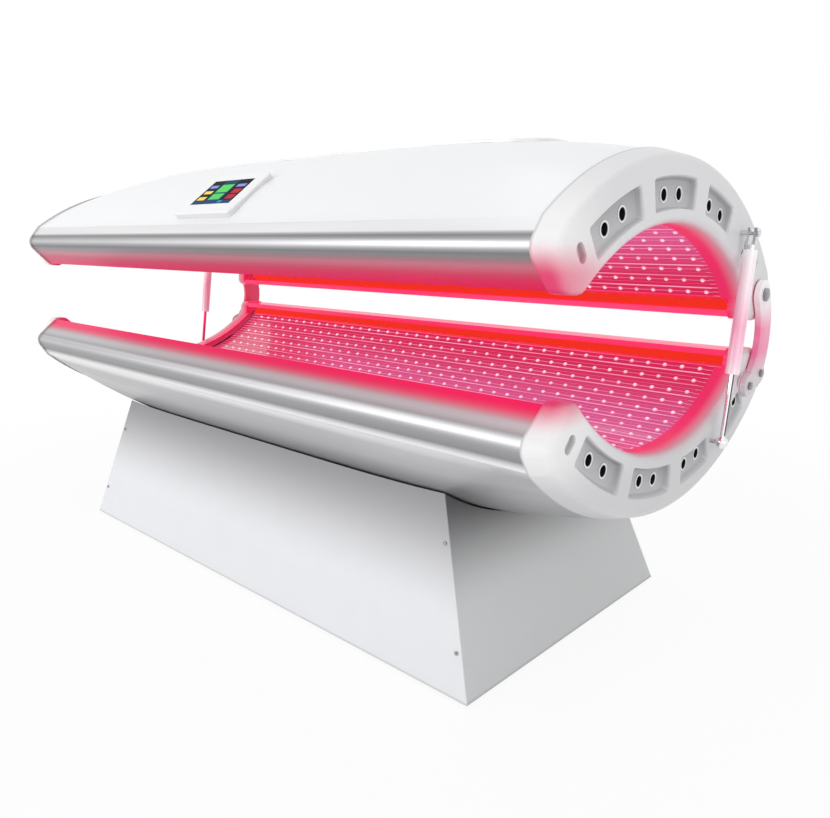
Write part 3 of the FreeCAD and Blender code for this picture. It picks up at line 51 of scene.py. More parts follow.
def tone(r, g, b):  # screen colour, 0 to 255, to the linear one that sockets take
    def lin(v):
        v = v / 255
        return v / 12.92 if v <= 0.04045 else ((v + 0.055) / 1.055) ** 2.4
    return (lin(r), lin(g), lin(b), 1.0)


def feed(tree, value, socket):  # links a socket, or sets a plain value
    if isinstance(value, bpy.types.NodeSocket):
        tree.links.new(value, socket)
    else:
        socket.default_value = value


def calc(tree, operation, *values):
    node = tree.nodes.new("ShaderNodeMath")
    node.operation = operation
    for socket, value in zip(node.inputs, values):
        feed(tree, value, socket)
    return node.outputs[0]


def product(tree, first, *others):
    for other in others:
        first = calc(tree, "MULTIPLY", first, other)
    return first


def distance(tree, a, b):
    return calc(tree, "SQRT", calc(tree, "ADD", product(tree, a, a), product(tree, b, b)))


def spread(tree, value, low, high, toLow=0.0, toHigh=1.0, smooth=False):
    node = tree.nodes.new("ShaderNodeMapRange")
    node.interpolation_type = "SMOOTHSTEP" if smooth else "LINEAR"
    for socket, v in zip(node.inputs, (value, low, high, toLow, toHigh)):
        feed(tree, v, socket)
    return node.outputs[0]


def ramp(tree, value, stops):  # stops: place from 0 to 1, colour
    node = tree.nodes.new("ShaderNodeValToRGB")
    tree.links.new(value, node.inputs[0])
    bar = node.color_ramp
    while len(bar.elements) < len(stops):
        bar.elements.new(1.0)
    for element, (place, colour) in zip(bar.elements, stops):
        element.position = place
        element.color = colour
    return node.outputs[0]


# ramp of painted reflection bands round a curve
def angleRamp(tree, angle, reflectionBands):  # bands: angle, colour
    low, high = reflectionBands[0][0], reflectionBands[-1][0]
    placed = [((a - low) / (high - low), colour) for a, colour in reflectionBands]
    return ramp(tree, spread(tree, angle, low, high), placed)


def mixColour(tree, factor, first, second, blend="MIX"):
    node = tree.nodes.new("ShaderNodeMix")
    node.data_type = "RGBA"
    node.blend_type = blend
    for socket, v in ((node.inputs[0], factor), (node.inputs[6], first), (node.inputs[7], second)):
        feed(tree, v, socket)
    return node.outputs[2]


def joined(tree, x, y, z=0.0):
    node = tree.nodes.new("ShaderNodeCombineXYZ")
    for socket, value in zip(node.inputs, (x, y, z)):
        feed(tree, value, socket)
    return node.outputs[0]


def noise(tree, vector, scale, detail=2.0):
    node = tree.nodes.new("ShaderNodeTexNoise")
    for label, value in (("Vector", vector), ("Scale", scale), ("Detail", detail)):
        feed(tree, value, node.inputs[label])
    return node.outputs[0]


def axes(tree):  # the point's own x, y and z
    coords = tree.nodes.new("ShaderNodeTexCoord")
    parts = tree.nodes.new("ShaderNodeSeparateXYZ")
    tree.links.new(coords.outputs["Object"], parts.inputs[0])
    return parts.outputs


def newGroup(name, takes, gives):
    group = bpy.data.node_groups.new(name, "ShaderNodeTree")
    for label, kind, value in takes:
        socket = group.interface.new_socket(label, in_out="INPUT", socket_type="NodeSocket" + kind)
        socket.default_value = value
    for label, kind in gives:
        group.interface.new_socket(label, in_out="OUTPUT", socket_type="NodeSocket" + kind)
    return group, group.nodes.new("NodeGroupInput").outputs, group.nodes.new("NodeGroupOutput")


def give(group, result, **values):
    for label, value in values.items():
        group.links.new(value, result.inputs[label])


def place(tree, group, **values):
    node = tree.nodes.new("ShaderNodeGroup")
    node.node_tree = group
    for label, value in values.items():
        feed(tree, value, node.inputs[label])
    return node.outputs


# where a point lies round a lengthwise curve: distance, angle from straight out, angle from the front
curvePlace, given, result = newGroup(
    "curvePlace",
    [("y", "Float", 0.0), ("z", "Float", 0.0), ("tilt", "Float", 0.0), ("side", "Float", 1.0)],
    [("radius", "Float"), ("angle", "Float"), ("frontAngle", "Float"), ("along", "Float")],
)
x, y, z = axes(curvePlace)
dy = calc(curvePlace, "SUBTRACT", y, given["y"])
dz = calc(curvePlace, "SUBTRACT", z, given["z"])
cosTilt = calc(curvePlace, "COSINE", given["tilt"])
sinTilt = calc(curvePlace, "SINE", given["tilt"])
localY = calc(curvePlace, "SUBTRACT", product(curvePlace, dy, cosTilt), product(curvePlace, dz, sinTilt))
localZ = calc(curvePlace, "ADD", product(curvePlace, dy, sinTilt), product(curvePlace, dz, cosTilt))
outZ = product(curvePlace, localZ, given["side"])
frontward = product(curvePlace, localY, -1.0)
give(curvePlace, result,
     radius=distance(curvePlace, localY, localZ),
     angle=calc(curvePlace, "DEGREES", calc(curvePlace, "ARCTAN2", localY, outZ)),
     frontAngle=calc(curvePlace, "DEGREES", calc(curvePlace, "ARCTAN2", outZ, frontward)),
     along=x)

# slight unevenness of a moulded, painted or rolled surface
grainMake = {"detail": 3.0, "fineTimes": 12.0, "roughFrom": 0.3, "roughTo": 0.7, "bumpDistance": 0.0004}
surfaceGrain, given, result = newGroup(
    "surfaceGrain",
    [("colour", "Color", (0.8, 0.8, 0.8, 1)), ("scale", "Float", 40.0), ("stretch", "Float", 1.0),
     ("depth", "Float", 0.03), ("roughLow", "Float", 0.3), ("roughHigh", "Float", 0.4)],
    [("colour", "Color"), ("roughness", "Float"), ("height", "Float")],
)
x, y, z = axes(surfaceGrain)
drawn = joined(surfaceGrain, product(surfaceGrain, x, given["stretch"]), y, z)
broad = noise(surfaceGrain, drawn, given["scale"], grainMake["detail"])
fine = noise(surfaceGrain, drawn, product(surfaceGrain, given["scale"], grainMake["fineTimes"]))
swell = product(surfaceGrain, calc(surfaceGrain, "SUBTRACT", broad, 0.5), given["depth"])
scaled = surfaceGrain.nodes.new("ShaderNodeVectorMath")
scaled.operation = "SCALE"
surfaceGrain.links.new(given["colour"], scaled.inputs[0])
surfaceGrain.links.new(calc(surfaceGrain, "ADD", swell, 1.0), scaled.inputs["Scale"])
give(surfaceGrain, result,
     colour=scaled.outputs[0],
     roughness=spread(surfaceGrain, broad, grainMake["roughFrom"], grainMake["roughTo"],
                      given["roughLow"], given["roughHigh"]),
     height=fine)

# one soft-edged block of a screen's layout
blockEdge = 0.0008
screenBlock, given, result = newGroup(
    "screenBlock",
    [("u", "Float", 0.0), ("v", "Float", 0.0), ("middleU", "Float", 0.0), ("middleV", "Float", 0.0),
     ("halfU", "Float", 0.01), ("halfV", "Float", 0.01)],
    [("mask", "Float")],
)
inside = []
for way in "uv":
    off = calc(screenBlock, "SUBTRACT", given[way], given["middle" + way.upper()])
    past = calc(screenBlock, "SUBTRACT", calc(screenBlock, "ABSOLUTE", off), given["half" + way.upper()])
    inside.append(spread(screenBlock, past, -blockEdge, blockEdge, 1.0, 0.0))
give(screenBlock, result, mask=product(screenBlock, *inside))
print("shared effects made")


def newFinish(name, **settings):  # a material with its principled shader, plain sockets set from settings
    material = bpy.data.materials.new(name)
    material.use_nodes = True
    tree = material.node_tree
    shader = tree.nodes["Principled BSDF"]
    for label, value in settings.items():
        shader.inputs[label].default_value = value
    return material, tree, shader


def grained(tree, shader, colour, scale, depth, roughLow, roughHigh, bump=0.0, stretch=1.0):
    grain = place(tree, surfaceGrain, colour=colour, scale=scale, depth=depth,
                  roughLow=roughLow, roughHigh=roughHigh, stretch=stretch)
    tree.links.new(grain["colour"], shader.inputs["Base Color"])
    tree.links.new(grain["roughness"], shader.inputs["Roughness"])
    if bump:
        node = tree.nodes.new("ShaderNodeBump")
        node.inputs["Strength"].default_value = bump
        node.inputs["Distance"].default_value = grainMake["bumpDistance"]
        tree.links.new(grain["height"], node.inputs["Height"])
        tree.links.new(node.outputs[0], shader.inputs["Normal"])


def glow(tree, shader, colour, strength):
    feed(tree, colour, shader.inputs["Emission Color"])
    shader.inputs["Emission Strength"].default_value = strength


def glowWhere(tree, shader, mask, colour, strength):
    glow(tree, shader, mixColour(tree, mask, (0, 0, 0, 1), colour), strength)


def dress(material, *names):
    for name in names:
        for slot in nodes[name].material_slots:
            slot.material = material


# pinks of painted lamp light: the lamps' glow on the caps, noses and rails, painted into their colour and
# emission
paintedLampGlowPink = tone(238, 62, 118)
paintedLampDeepPink = tone(226, 42, 98)

# white covers
whiteCover = {"colour": tone(244, 245, 247), "scale": 22, "depth": 0.02,
              "roughLow": 0.28, "roughHigh": 0.36, "bump": 0.04}
material, tree, shader = newFinish("whiteCover", **{"Coat Weight": 0.25, "Coat Roughness": 0.12})
grained(tree, shader, **whiteCover)
dress(material, "canopy_cover", "canopy_top_panel")

# moulded end caps: white, with a painted highlight on the front tips, painted shade below, along the seam and
# in the pockets, and painted pink lamp light and glow on the lips and tips
# each pair runs from none to full, by radius, angle, height, or outward from the bed's middle
# white is a painted highlight over the front roll and face is the plain white; low, seam and the pocket tones
# are painted shade
endCap = {"white": tone(248, 248, 249), "face": tone(228, 228, 230), "low": tone(176, 176, 178),
          "pocketShadeDark": tone(158, 158, 160), "pocketShadeLight": tone(200, 200, 202), "seam": tone(150, 150, 152),
          "lipRadius": (0.528, 0.504), "lipOutward": (0.944, 0.900), "lipLampGlow": 0.3,
          "frontAngle": (-30.0, -47.0), "frontHeight": (0.44, 0.53),
          "bedTip": (0.560, 0.606), "canopyTip": (0.852, 0.792),
          "tipOutward": (0.915, 0.947), "tipOuterShare": 0.7, "tipAlong": (-0.2, 0.2), "tipLeftShare": 0.1,
          "shadeBelowHeight": (0.52, 0.42), "shadeBelowShare": 0.32, "seamOutward": (0.9050, 0.9003), "seamShare": 0.5,
          "pocketMouth": (0.9445, 0.940), "pocketFloor": (0.926, 0.931),
          "pocketIn": (0.519, 0.522), "pocketOut": (0.579, 0.576),
          "pocketFront": (-45.0, -44.5), "pocketRear": (41.0, 40.0), "pocketTipShare": 0.6,
          "grain": {"scale": 30, "depth": 0.03, "roughLow": 0.34, "roughHigh": 0.44, "bump": 0.06}}


def capFinish(name, curve, tipHeight):
    material, tree, shader = newFinish(name, **{"Coat Weight": 0.15, "Coat Roughness": 0.2})
    spot = place(tree, curvePlace, **curve)
    radius, angle, along = spot["radius"], spot["angle"], spot["along"]
    outward, height = calc(tree, "ABSOLUTE", along), axes(tree)[2]

    def soft(value, label, full=1.0):
        return spread(tree, value, *endCap[label], 0.0, full, True)

    # painted pink lamp light on the inner lip
    lipLampLight = product(tree, soft(radius, "lipRadius"), soft(outward, "lipOutward"))
    # painted highlight over the front roll, brighter than the face
    front = product(tree, soft(angle, "frontAngle"), soft(height, "frontHeight"))
    # painted pink lamp light on the front tip
    tipLampLight = product(tree, front, spread(tree, height, *tipHeight, 0.0, 1.0, True),
                  spread(tree, outward, *endCap["tipOutward"], 1.0, endCap["tipOuterShare"], True),
                  spread(tree, along, *endCap["tipAlong"], endCap["tipLeftShare"], 1.0))
    colour = mixColour(tree, front, endCap["face"], endCap["white"])
    # painted shade over the lower part of the cap
    colour = mixColour(tree, soft(height, "shadeBelowHeight", endCap["shadeBelowShare"]), colour, endCap["low"])
    # painted shadow along the seam with the cover
    colour = mixColour(tree, soft(outward, "seamOutward", endCap["seamShare"]), colour, endCap["seam"])
    # pockets: painted shade, darker on their upper side, lighter towards the front
    bounds = ((outward, "pocketMouth"), (outward, "pocketFloor"), (radius, "pocketIn"), (radius, "pocketOut"),
              (angle, "pocketFront"), (angle, "pocketRear"))
    sunk = product(tree, *[spread(tree, value, *endCap[label]) for value, label in bounds])
    above, below = ("pocketIn", "pocketOut") if curve["side"] < 0 else ("pocketOut", "pocketIn")
    shade = spread(tree, radius, endCap[above][0], endCap[below][0])
    pocket = mixColour(tree, shade, endCap["pocketShadeDark"], endCap["pocketShadeLight"])
    pocket = mixColour(tree, product(tree, front, endCap["pocketTipShare"]), pocket, endCap["face"])
    colour = mixColour(tree, sunk, colour, pocket)
    # painted pink lamp light over the lip and tip
    colour = mixColour(tree, calc(tree, "MAXIMUM", lipLampLight, tipLampLight), colour, paintedLampGlowPink)
    grained(tree, shader, colour, **endCap["grain"])
    # painted glow of the lamps on the lip
    glowWhere(tree, shader, lipLampLight, paintedLampDeepPink, endCap["lipLampGlow"])
    return material


dress(capFinish("bedCapWhite", bedCurve, endCap["bedTip"]), "bed_end_cap_right", "bed_end_cap_left")
dress(capFinish("canopyCapWhite", canopyCurve, endCap["canopyTip"]),
      "canopy_end_cap_right", "canopy_end_cap_left")

# silver tones that the noses and the belly share, for their painted reflection bands
dark, dim, shade = tone(115, 115, 117), tone(130, 130, 132), tone(148, 148, 150)
plain, soft, bright = tone(165, 165, 167), tone(176, 176, 178), tone(190, 190, 192)
light, pale = tone(224, 224, 225), tone(240, 240, 241)

# anodised noses: painted reflection bands in silver by angle from the front, and painted pink lamp light and
# glow that fade over the lip
frontNose = {"metal": 0.9, "lampGlowAngle": (-124, -100), "glow": 0.25,
             "grain": {"scale": 60, "depth": 0.04, "roughLow": 0.36, "roughHigh": 0.46,
                       "bump": 0.04, "stretch": 0.03}}
bedNose = {"lampLightPink": paintedLampDeepPink, "lampLightAngle": (-117, -88),
           "reflectionBands": [(-80, bright), (-54, plain), (-38, bright), (-23, soft), (-12, bright), (17, plain),
                     (63, shade), (84, pale)]}
canopyNose = {"lampLightPink": tone(205, 50, 100), "lampLightAngle": (-124, -40),
              "reflectionBands": [(-100, light), (-70, plain), (-30, dim), (-14, plain), (1, bright), (20, plain),
                        (40, dim), (50, plain), (60, light)]}


def noseFinish(name, curve, own):
    material, tree, shader = newFinish(name, Metallic=frontNose["metal"])
    angle = place(tree, curvePlace, **curve)["frontAngle"]
    # painted pink lamp light fading over the lip
    lampLightShare = spread(tree, angle, *own["lampLightAngle"], 1.0, 0.0, True)
    colour = mixColour(tree, lampLightShare, angleRamp(tree, angle, own["reflectionBands"]), own["lampLightPink"])
    grained(tree, shader, colour, **frontNose["grain"])
    # painted glow of the lamps over the lip
    lit = spread(tree, angle, *frontNose["lampGlowAngle"], 1.0, 0.0, True)
    glowWhere(tree, shader, lit, paintedLampDeepPink, frontNose["glow"])
    return material


dress(noseFinish("bedNoseSilver", bedNoseCurve, bedNose), "bed_front_nose")
dress(noseFinish("canopyNoseSilver", canopyNoseCurve, canopyNose), "canopy_front_nose")

# rear rails: silver behind, with painted deep pink lamp light and glow on the side towards the lamps
rearRail = {"silver": tone(205, 205, 208), "lit": tone(236, 56, 106), "metal": 0.6, "lampLightY": (0.395, 0.425),
            "glow": 0.42, "grain": {"scale": 60, "depth": 0.05, "roughLow": 0.25, "roughHigh": 0.34,
                                    "bump": 0.05, "stretch": 0.03}}
material, tree, shader = newFinish("railSilver", Metallic=rearRail["metal"])
railLampLight = spread(tree, axes(tree)[1], *rearRail["lampLightY"], 1.0, 0.0, True)
grained(tree, shader, mixColour(tree, railLampLight, rearRail["silver"], rearRail["lit"]), **rearRail["grain"])
glowWhere(tree, shader, railLampLight, rearRail["lit"], rearRail["glow"])
dress(material, "bed_rear_rail", "canopy_rear_rail")

# rolled belly: painted reflection bands by angle from straight down, and painted paler light towards the
# right end
belly = {"metal": 0.75, "paleLightAlong": (0.3, 0.88), "paleLightShare": 0.36,
         "reflectionBands": [(-42, pale), (-40, bright), (-35, bright), (-28, shade), (-20, dark), (8, dark),
                   (22, shade), (44, light)],
         "grain": {"scale": 50, "depth": 0.05, "roughLow": 0.3, "roughHigh": 0.4,
                   "bump": 0.05, "stretch": 0.03}}
material, tree, shader = newFinish("bellySilver", Metallic=belly["metal"])
spot = place(tree, curvePlace, **bedCurve)
palerLight = spread(tree, spot["along"], *belly["paleLightAlong"], 0.0, belly["paleLightShare"], True)
colour = mixColour(tree, palerLight, angleRamp(tree, spot["angle"], belly["reflectionBands"]), pale)
grained(tree, shader, colour, **belly["grain"])
dress(material, "bed_belly_skin")
print("shells finished")

# lamp field: painted lengthwise reflection streaks, bright and darker, on the pink of the lamps' light, which
# is painted as colour and glow; shared by the boards and the tray behind them, with a painted halo of light
# round each lamp
# pitches of lines and rows in degrees, of lamps along a row in metres; arc is the metres in a degree
lampField = {"rear": tone(216, 46, 90), "middle": tone(210, 106, 160), "bright": tone(244, 184, 212),
             "dark": tone(170, 42, 96), "halo": tone(250, 206, 226), "lamp": tone(255, 250, 252),
             "linePitch": 1.3667, "rowPitch": 4.1, "lampPitch": 0.042, "arc": 0.00919,
             "lineEdge": (0.06, 0.16), "darkStreakAt": 0.42, "darkStreakEdge": (0.03, 0.10), "darkStreakShare": 0.75,
             "patchAlong": 1.6, "patchAround": 0.9, "patchScale": 2.0, "patchFade": (0.35, 0.6),
             "patchShare": (0.3, 0.95), "rearAngle": (16, 40), "leftAlong": (-0.05, -0.7),
             "haloEdge": (0.0030, 0.0070), "haloLeast": 0.45, "lampTop": (0.5276, 0.5280), "lampLeast": 0.6,
             "unlit": (0.2, 0.2, 0.2, 1), "roughness": 0.4, "glow": 0.90}
lampLines, given, result = newGroup(
    "lampLines",
    [("angle", "Float", 0.0), ("along", "Float", 0.0)],
    [("colour", "Color"), ("halo", "Float")],
)
angle, along = given["angle"], given["along"]
flow = joined(lampLines, product(lampLines, along, lampField["patchAlong"]),
              product(lampLines, angle, lampField["patchAround"]))
patch = noise(lampLines, flow, lampField["patchScale"])
# painted reflection streaks: bright lines, and darker lines beside them
stripe = calc(lampLines, "PINGPONG", angle, lampField["linePitch"] / 2)
edge = product(lampLines, spread(lampLines, stripe, *lampField["lineEdge"], 1.0, 0.0, True),
               spread(lampLines, patch, *lampField["patchFade"], *lampField["patchShare"]))
offMiddle = calc(lampLines, "ABSOLUTE", calc(lampLines, "SUBTRACT", stripe, lampField["darkStreakAt"]))
darkStreak = spread(lampLines, offMiddle, *lampField["darkStreakEdge"], lampField["darkStreakShare"], 0.0)
redder = calc(lampLines, "MAXIMUM", spread(lampLines, angle, *lampField["rearAngle"], 0.0, 1.0, True),
              spread(lampLines, along, *lampField["leftAlong"], 0.0, 1.0, True))
ground = mixColour(lampLines, redder, lampField["middle"], lampField["rear"])
ground = mixColour(lampLines, darkStreak, ground, lampField["dark"])
offAlong = calc(lampLines, "PINGPONG", along, lampField["lampPitch"] / 2)  # from the nearest lamp
offRow = product(lampLines, calc(lampLines, "PINGPONG", angle, lampField["rowPitch"] / 2), lampField["arc"])
# painted halo of lamp light round each lamp, of random strength from lamp to lamp
near = spread(lampLines, distance(lampLines, offAlong, offRow), *lampField["haloEdge"], 1.0, 0.0, True)
cell = joined(lampLines, calc(lampLines, "ROUND", calc(lampLines, "DIVIDE", along, lampField["lampPitch"])),
              calc(lampLines, "ROUND", calc(lampLines, "DIVIDE", angle, lampField["rowPitch"])))
chance = lampLines.nodes.new("ShaderNodeTexWhiteNoise")
lampLines.links.new(cell, chance.inputs["Vector"])
strength = spread(lampLines, chance.outputs[0], 0.0, 1.0, lampField["haloLeast"], 1.0)
give(lampLines, result,
     colour=mixColour(lampLines, edge, ground, lampField["bright"]),
     halo=product(lampLines, near, strength))


def lampFinish(name, curve, withLamps):
    material, tree, shader = newFinish(name, Roughness=lampField["roughness"])
    spot = place(tree, curvePlace, **curve)
    lines = place(tree, lampLines, angle=spot["angle"], along=spot["along"])
    colour = lines["colour"]
    if withLamps:
        colour = mixColour(tree, lines["halo"], colour, lampField["halo"])
        onLamp = spread(tree, spot["radius"], *lampField["lampTop"], 1.0, 0.0)
        lampStrength = spread(tree, lines["halo"], lampField["haloLeast"], 1.0, lampField["lampLeast"], 1.0)
        colour = mixColour(tree, product(tree, onLamp, lampStrength), colour, lampField["lamp"])
    unlit = mixColour(tree, 1.0, colour, lampField["unlit"], "MULTIPLY")
    tree.links.new(unlit, shader.inputs["Base Color"])
    # the glow over the boards and trays is painted lamp light; on the lamp dots it is the lamps' own
    glow(tree, shader, colour, lampField["glow"])
    return material


dress(lampFinish("bedLamps", bedCurve, True), "bed_lamp_boards")
dress(lampFinish("canopyLamps", canopyCurve, True), "canopy_lamp_boards")
# trays: painted lamp light only, without lamp dots
dress(lampFinish("bedTray", bedCurve, False), "bed_lamp_tray")
dress(lampFinish("canopyTray", canopyCurve, False), "canopy_lamp_tray")

# clear acrylic over the lamps
clearAcrylic = {"colour": tone(255, 236, 243), "scale": 14, "depth": 0.02,
                "roughLow": 0.02, "roughHigh": 0.05}
material, tree, shader = newFinish("clearAcrylic", **{"Transmission Weight": 1.0, "IOR": 1.14})
grained(tree, shader, **clearAcrylic)
dress(material, "bed_acrylic", "canopy_acrylic")

# light bars
lightBar = {"lit": tone(234, 54, 32), "glow": 0.74,
            "grain": {"colour": tone(150, 26, 16), "scale": 40, "depth": 0.08,
                      "roughLow": 0.25, "roughHigh": 0.35}}
material, tree, shader = newFinish("lightBar")
grained(tree, shader, **lightBar["grain"])
glow(tree, shader, lightBar["lit"], lightBar["glow"])
dress(material, "bed_light_bar", "canopy_light_bar")
print("lamp side finished")

# base panels: satin silver paint, with painted shade up under the belly and a painted shadow line at the
# foot; the end panels carry the same paint, painted darker as the shaded side
panel = {"metal": 0.12, "line": tone(150, 150, 152), "lineShare": 0.5, "lineHeight": 0.006,
         "foot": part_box("base_front_panel")[0][2],
         "grain": {"scale": 26, "depth": 0.03, "roughLow": 0.34, "roughHigh": 0.44, "bump": 0.05}}
longPanel = {"colour": tone(234, 235, 238), "dim": tone(142, 141, 144), "shadeUnderBellyHeight": (0.130, 0.385)}
# end panels: the same paint as the long panels, painted darker as the shaded side
shadedEndPanel = {"colour": tone(212, 213, 214), "dim": tone(92, 92, 94), "shadeUnderBellyHeight": (0.150, 0.372)}


def panelFinish(name, own):
    material, tree, shader = newFinish(name, Metallic=panel["metal"])
    height = axes(tree)[2]
    # painted shade up under the belly
    shadeUnderBelly = spread(tree, height, *own["shadeUnderBellyHeight"], 0.0, 1.0, True)
    # painted shadow line along the foot
    foot = spread(tree, height, panel["foot"], panel["foot"] + panel["lineHeight"], panel["lineShare"], 0.0)
    colour = mixColour(tree, shadeUnderBelly, own["colour"], own["dim"])
    grained(tree, shader, mixColour(tree, foot, colour, panel["line"]), **panel["grain"])
    return material


dress(panelFinish("baseSilver", longPanel), "base_front_panel", "base_rear_panel")
dress(panelFinish("baseSilverShadedEnd", shadedEndPanel), "base_left_panel", "base_right_panel")

# frames, cases, feet, fans and small hardware, each of one colour with its grain
frameBlack = {"colour": tone(58, 58, 60), "scale": 30, "depth": 0.15, "roughLow": 0.4, "roughHigh": 0.55}
frameMill = {"colour": tone(178, 178, 182), "scale": 50, "depth": 0.1, "roughLow": 0.35, "roughHigh": 0.5,
             "stretch": 0.1}
caseGrey = {"colour": tone(150, 152, 155), "scale": 40, "depth": 0.06, "roughLow": 0.4, "roughHigh": 0.5}
footRubber = {"colour": tone(38, 38, 39), "scale": 60, "depth": 0.2, "roughLow": 0.7, "roughHigh": 0.85,
              "bump": 0.2}
blackPlastic = {"colour": tone(24, 24, 25), "scale": 60, "depth": 0.15, "roughLow": 0.4, "roughHigh": 0.55,
                "bump": 0.1}
polishedSteel = {"colour": tone(214, 214, 217), "scale": 120, "depth": 0.08,
                 "roughLow": 0.12, "roughHigh": 0.22}
platedSteel = {"colour": tone(150, 150, 154), "scale": 120, "depth": 0.1, "roughLow": 0.22, "roughHigh": 0.36,
               "bump": 0.05}
bushBronze = {"colour": tone(186, 148, 92), "scale": 80, "depth": 0.1, "roughLow": 0.3, "roughHigh": 0.4}
rockerRed = {"colour": tone(176, 22, 24), "scale": 60, "depth": 0.05, "roughLow": 0.25, "roughHigh": 0.35}


def plainFinish(name, grain, *nodeNames, metal=0.0):
    material, tree, shader = newFinish(name, Metallic=metal)
    grained(tree, shader, **grain)
    dress(material, *nodeNames)
    return material


plainFinish("frameBlack", frameBlack, "base_frame", metal=0.2)
plainFinish("frameMill", frameMill, "bed_frame", "canopy_frame", metal=0.9)
plainFinish("caseGrey", caseGrey, "power_supplies", "control_box", metal=0.4)
plainFinish("footRubber", footRubber, "base_feet")
plainFinish("blackPlastic", blackPlastic, "bed_fan_housings", "canopy_fan_housings",
            "bed_fan_rotor_right", "bed_fan_rotor_left", "canopy_fan_rotor_right", "canopy_fan_rotor_left",
            "mains_inlet", "strut_gland_right", "strut_gland_left")
plainFinish("polishedSteel", polishedSteel, "strut_clevis_right", "strut_clevis_left",
            "lower_ball_studs", "upper_studs", metal=1.0)
platedFinish = plainFinish("platedSteel", platedSteel, "base_panel_screws", "hinge_arm_bolts", "hinge_pins",
                           metal=1.0)
plainFinish("bushBronze", bushBronze, "pivot_bushes", metal=1.0)
plainFinish("rockerRed", rockerRed, "power_rocker")

# vent cups: black inside, with light rims on the pocket's floor
ventCup = {"black": tone(8, 8, 9), "rim": tone(238, 238, 240), "rimOutward": (0.9350, 0.9354),
           "grain": {"scale": 60, "depth": 0.1, "roughLow": 0.5, "roughHigh": 0.65}}
material, tree, shader = newFinish("ventBlack")
onRim = spread(tree, calc(tree, "ABSOLUTE", axes(tree)[0]), *ventCup["rimOutward"])
grained(tree, shader, mixColour(tree, onRim, ventCup["black"], ventCup["rim"]), **ventCup["grain"])
dress(material, "bed_vent_cups", "canopy_vent_cups")

leftSide = (0.1, -0.1)  # none to full by x, for the arm and rod that are seen from the lamps' side


def turnedToLamps(tree, x, fromTo):  # on the left, the faces that look inwards
    return product(tree, spread(tree, x, *leftSide), spread(tree, x, *fromTo))


# hinge arms: white at the eye, with painted shade greying the foot and painted pink lamp light and glow in
# the middle, on the inner edge and on the sides that face the lamps
hingeArm = {"height": (0.512, 0.760), "edge": tone(222, 44, 110), "lampSideOutward": (0.9500, 0.9485),
            "lampLitSide": tone(236, 52, 108), "lampLitX": (-0.9602, -0.9560), "glow": 0.13,
            "grain": {"scale": 30, "depth": 0.03, "roughLow": 0.3, "roughHigh": 0.4, "bump": 0.05}}
armLightAndShadeStops = [(0.0, tone(196, 194, 197)), (0.18, tone(206, 196, 201)), (0.36, tone(232, 122, 164)),
            (0.58, tone(240, 132, 172)), (0.76, tone(240, 224, 231)), (1.0, tone(245, 245, 246))]
material, tree, shader = newFinish("armWhite", **{"Coat Weight": 0.2})
x, _, z = axes(tree)
colour = ramp(tree, spread(tree, z, *hingeArm["height"]), armLightAndShadeStops)
# painted deep pink lamp light on the inner edge
innerLampLight = spread(tree, calc(tree, "ABSOLUTE", x), *hingeArm["lampSideOutward"])
colour = mixColour(tree, innerLampLight, colour, hingeArm["edge"])
colour = mixColour(tree, turnedToLamps(tree, x, hingeArm["lampLitX"]), colour, hingeArm["lampLitSide"])
grained(tree, shader, colour, **hingeArm["grain"])
glow(tree, shader, colour, hingeArm["glow"])
dress(material, "hinge_arm_right", "hinge_arm_left")

# strut tubes: white, with painted pink lamp light and glow towards the gap
strutTube = {"height": (0.578, 0.826), "glow": 0.12,
             "grain": {"scale": 40, "depth": 0.02, "roughLow": 0.2, "roughHigh": 0.28}}
tubeLampLightStops = [(0.0, tone(246, 236, 241)), (0.14, tone(250, 204, 222)), (0.4, tone(250, 180, 206)),
             (0.66, tone(250, 232, 240)), (1.0, tone(250, 250, 251))]
material, tree, shader = newFinish("strutWhite", **{"Coat Weight": 0.4, "Coat Roughness": 0.1})
colour = ramp(tree, spread(tree, axes(tree)[2], *strutTube["height"]), tubeLampLightStops)
grained(tree, shader, colour, **strutTube["grain"])
glow(tree, shader, colour, strutTube["glow"])
dress(material, "strut_tube_right", "strut_tube_left")

# strut rods: chrome, with painted dark reflection edges above the ball socket and painted pink lamp light on
# the side that faces the lamps
strutRod = {"bright": tone(236, 236, 238), "dark": tone(84, 84, 88), "axis": 0.970,
            "reflectionEdgeOff": (0.0018, 0.0044), "rodHeight": (0.454, 0.458),
            "lampLitSide": tone(216, 52, 104), "lampLitX": (-0.9730, -0.9700),
            "grain": {"scale": 80, "depth": 0.06, "roughLow": 0.08, "roughHigh": 0.16, "stretch": 0.2}}
material, tree, shader = newFinish("chromeRod", Metallic=1.0)
x, _, z = axes(tree)
offAxis = calc(tree, "SUBTRACT", calc(tree, "ABSOLUTE", x), strutRod["axis"])
# painted dark reflection along the rod's edges
darkReflectionEdge = spread(tree, calc(tree, "ABSOLUTE", offAxis), *strutRod["reflectionEdgeOff"], 0.0, 1.0, True)
darkReflectionEdge = product(tree, darkReflectionEdge, spread(tree, z, *strutRod["rodHeight"]))
colour = mixColour(tree, darkReflectionEdge, strutRod["bright"], strutRod["dark"])
colour = mixColour(tree, turnedToLamps(tree, x, strutRod["lampLitX"]), colour, strutRod["lampLitSide"])
grained(tree, shader, colour, **strutRod["grain"])
dress(material, "strut_rod_right", "strut_rod_left")
print("base, hinge and trim finished")

# screen bezel: white, with painted shade greying its side faces against the cover
screenBezel = {"middle": [(a + b) / 2 for a, b in zip(*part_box("screen_glass"))], "tilt": math.radians(37.0),
               "white": tone(246, 246, 247), "edge": tone(226, 226, 228), "sideShadeOut": (-0.0006, -0.0022),
               "grain": {"scale": 30, "depth": 0.02, "roughLow": 0.3, "roughHigh": 0.38, "bump": 0.04}}


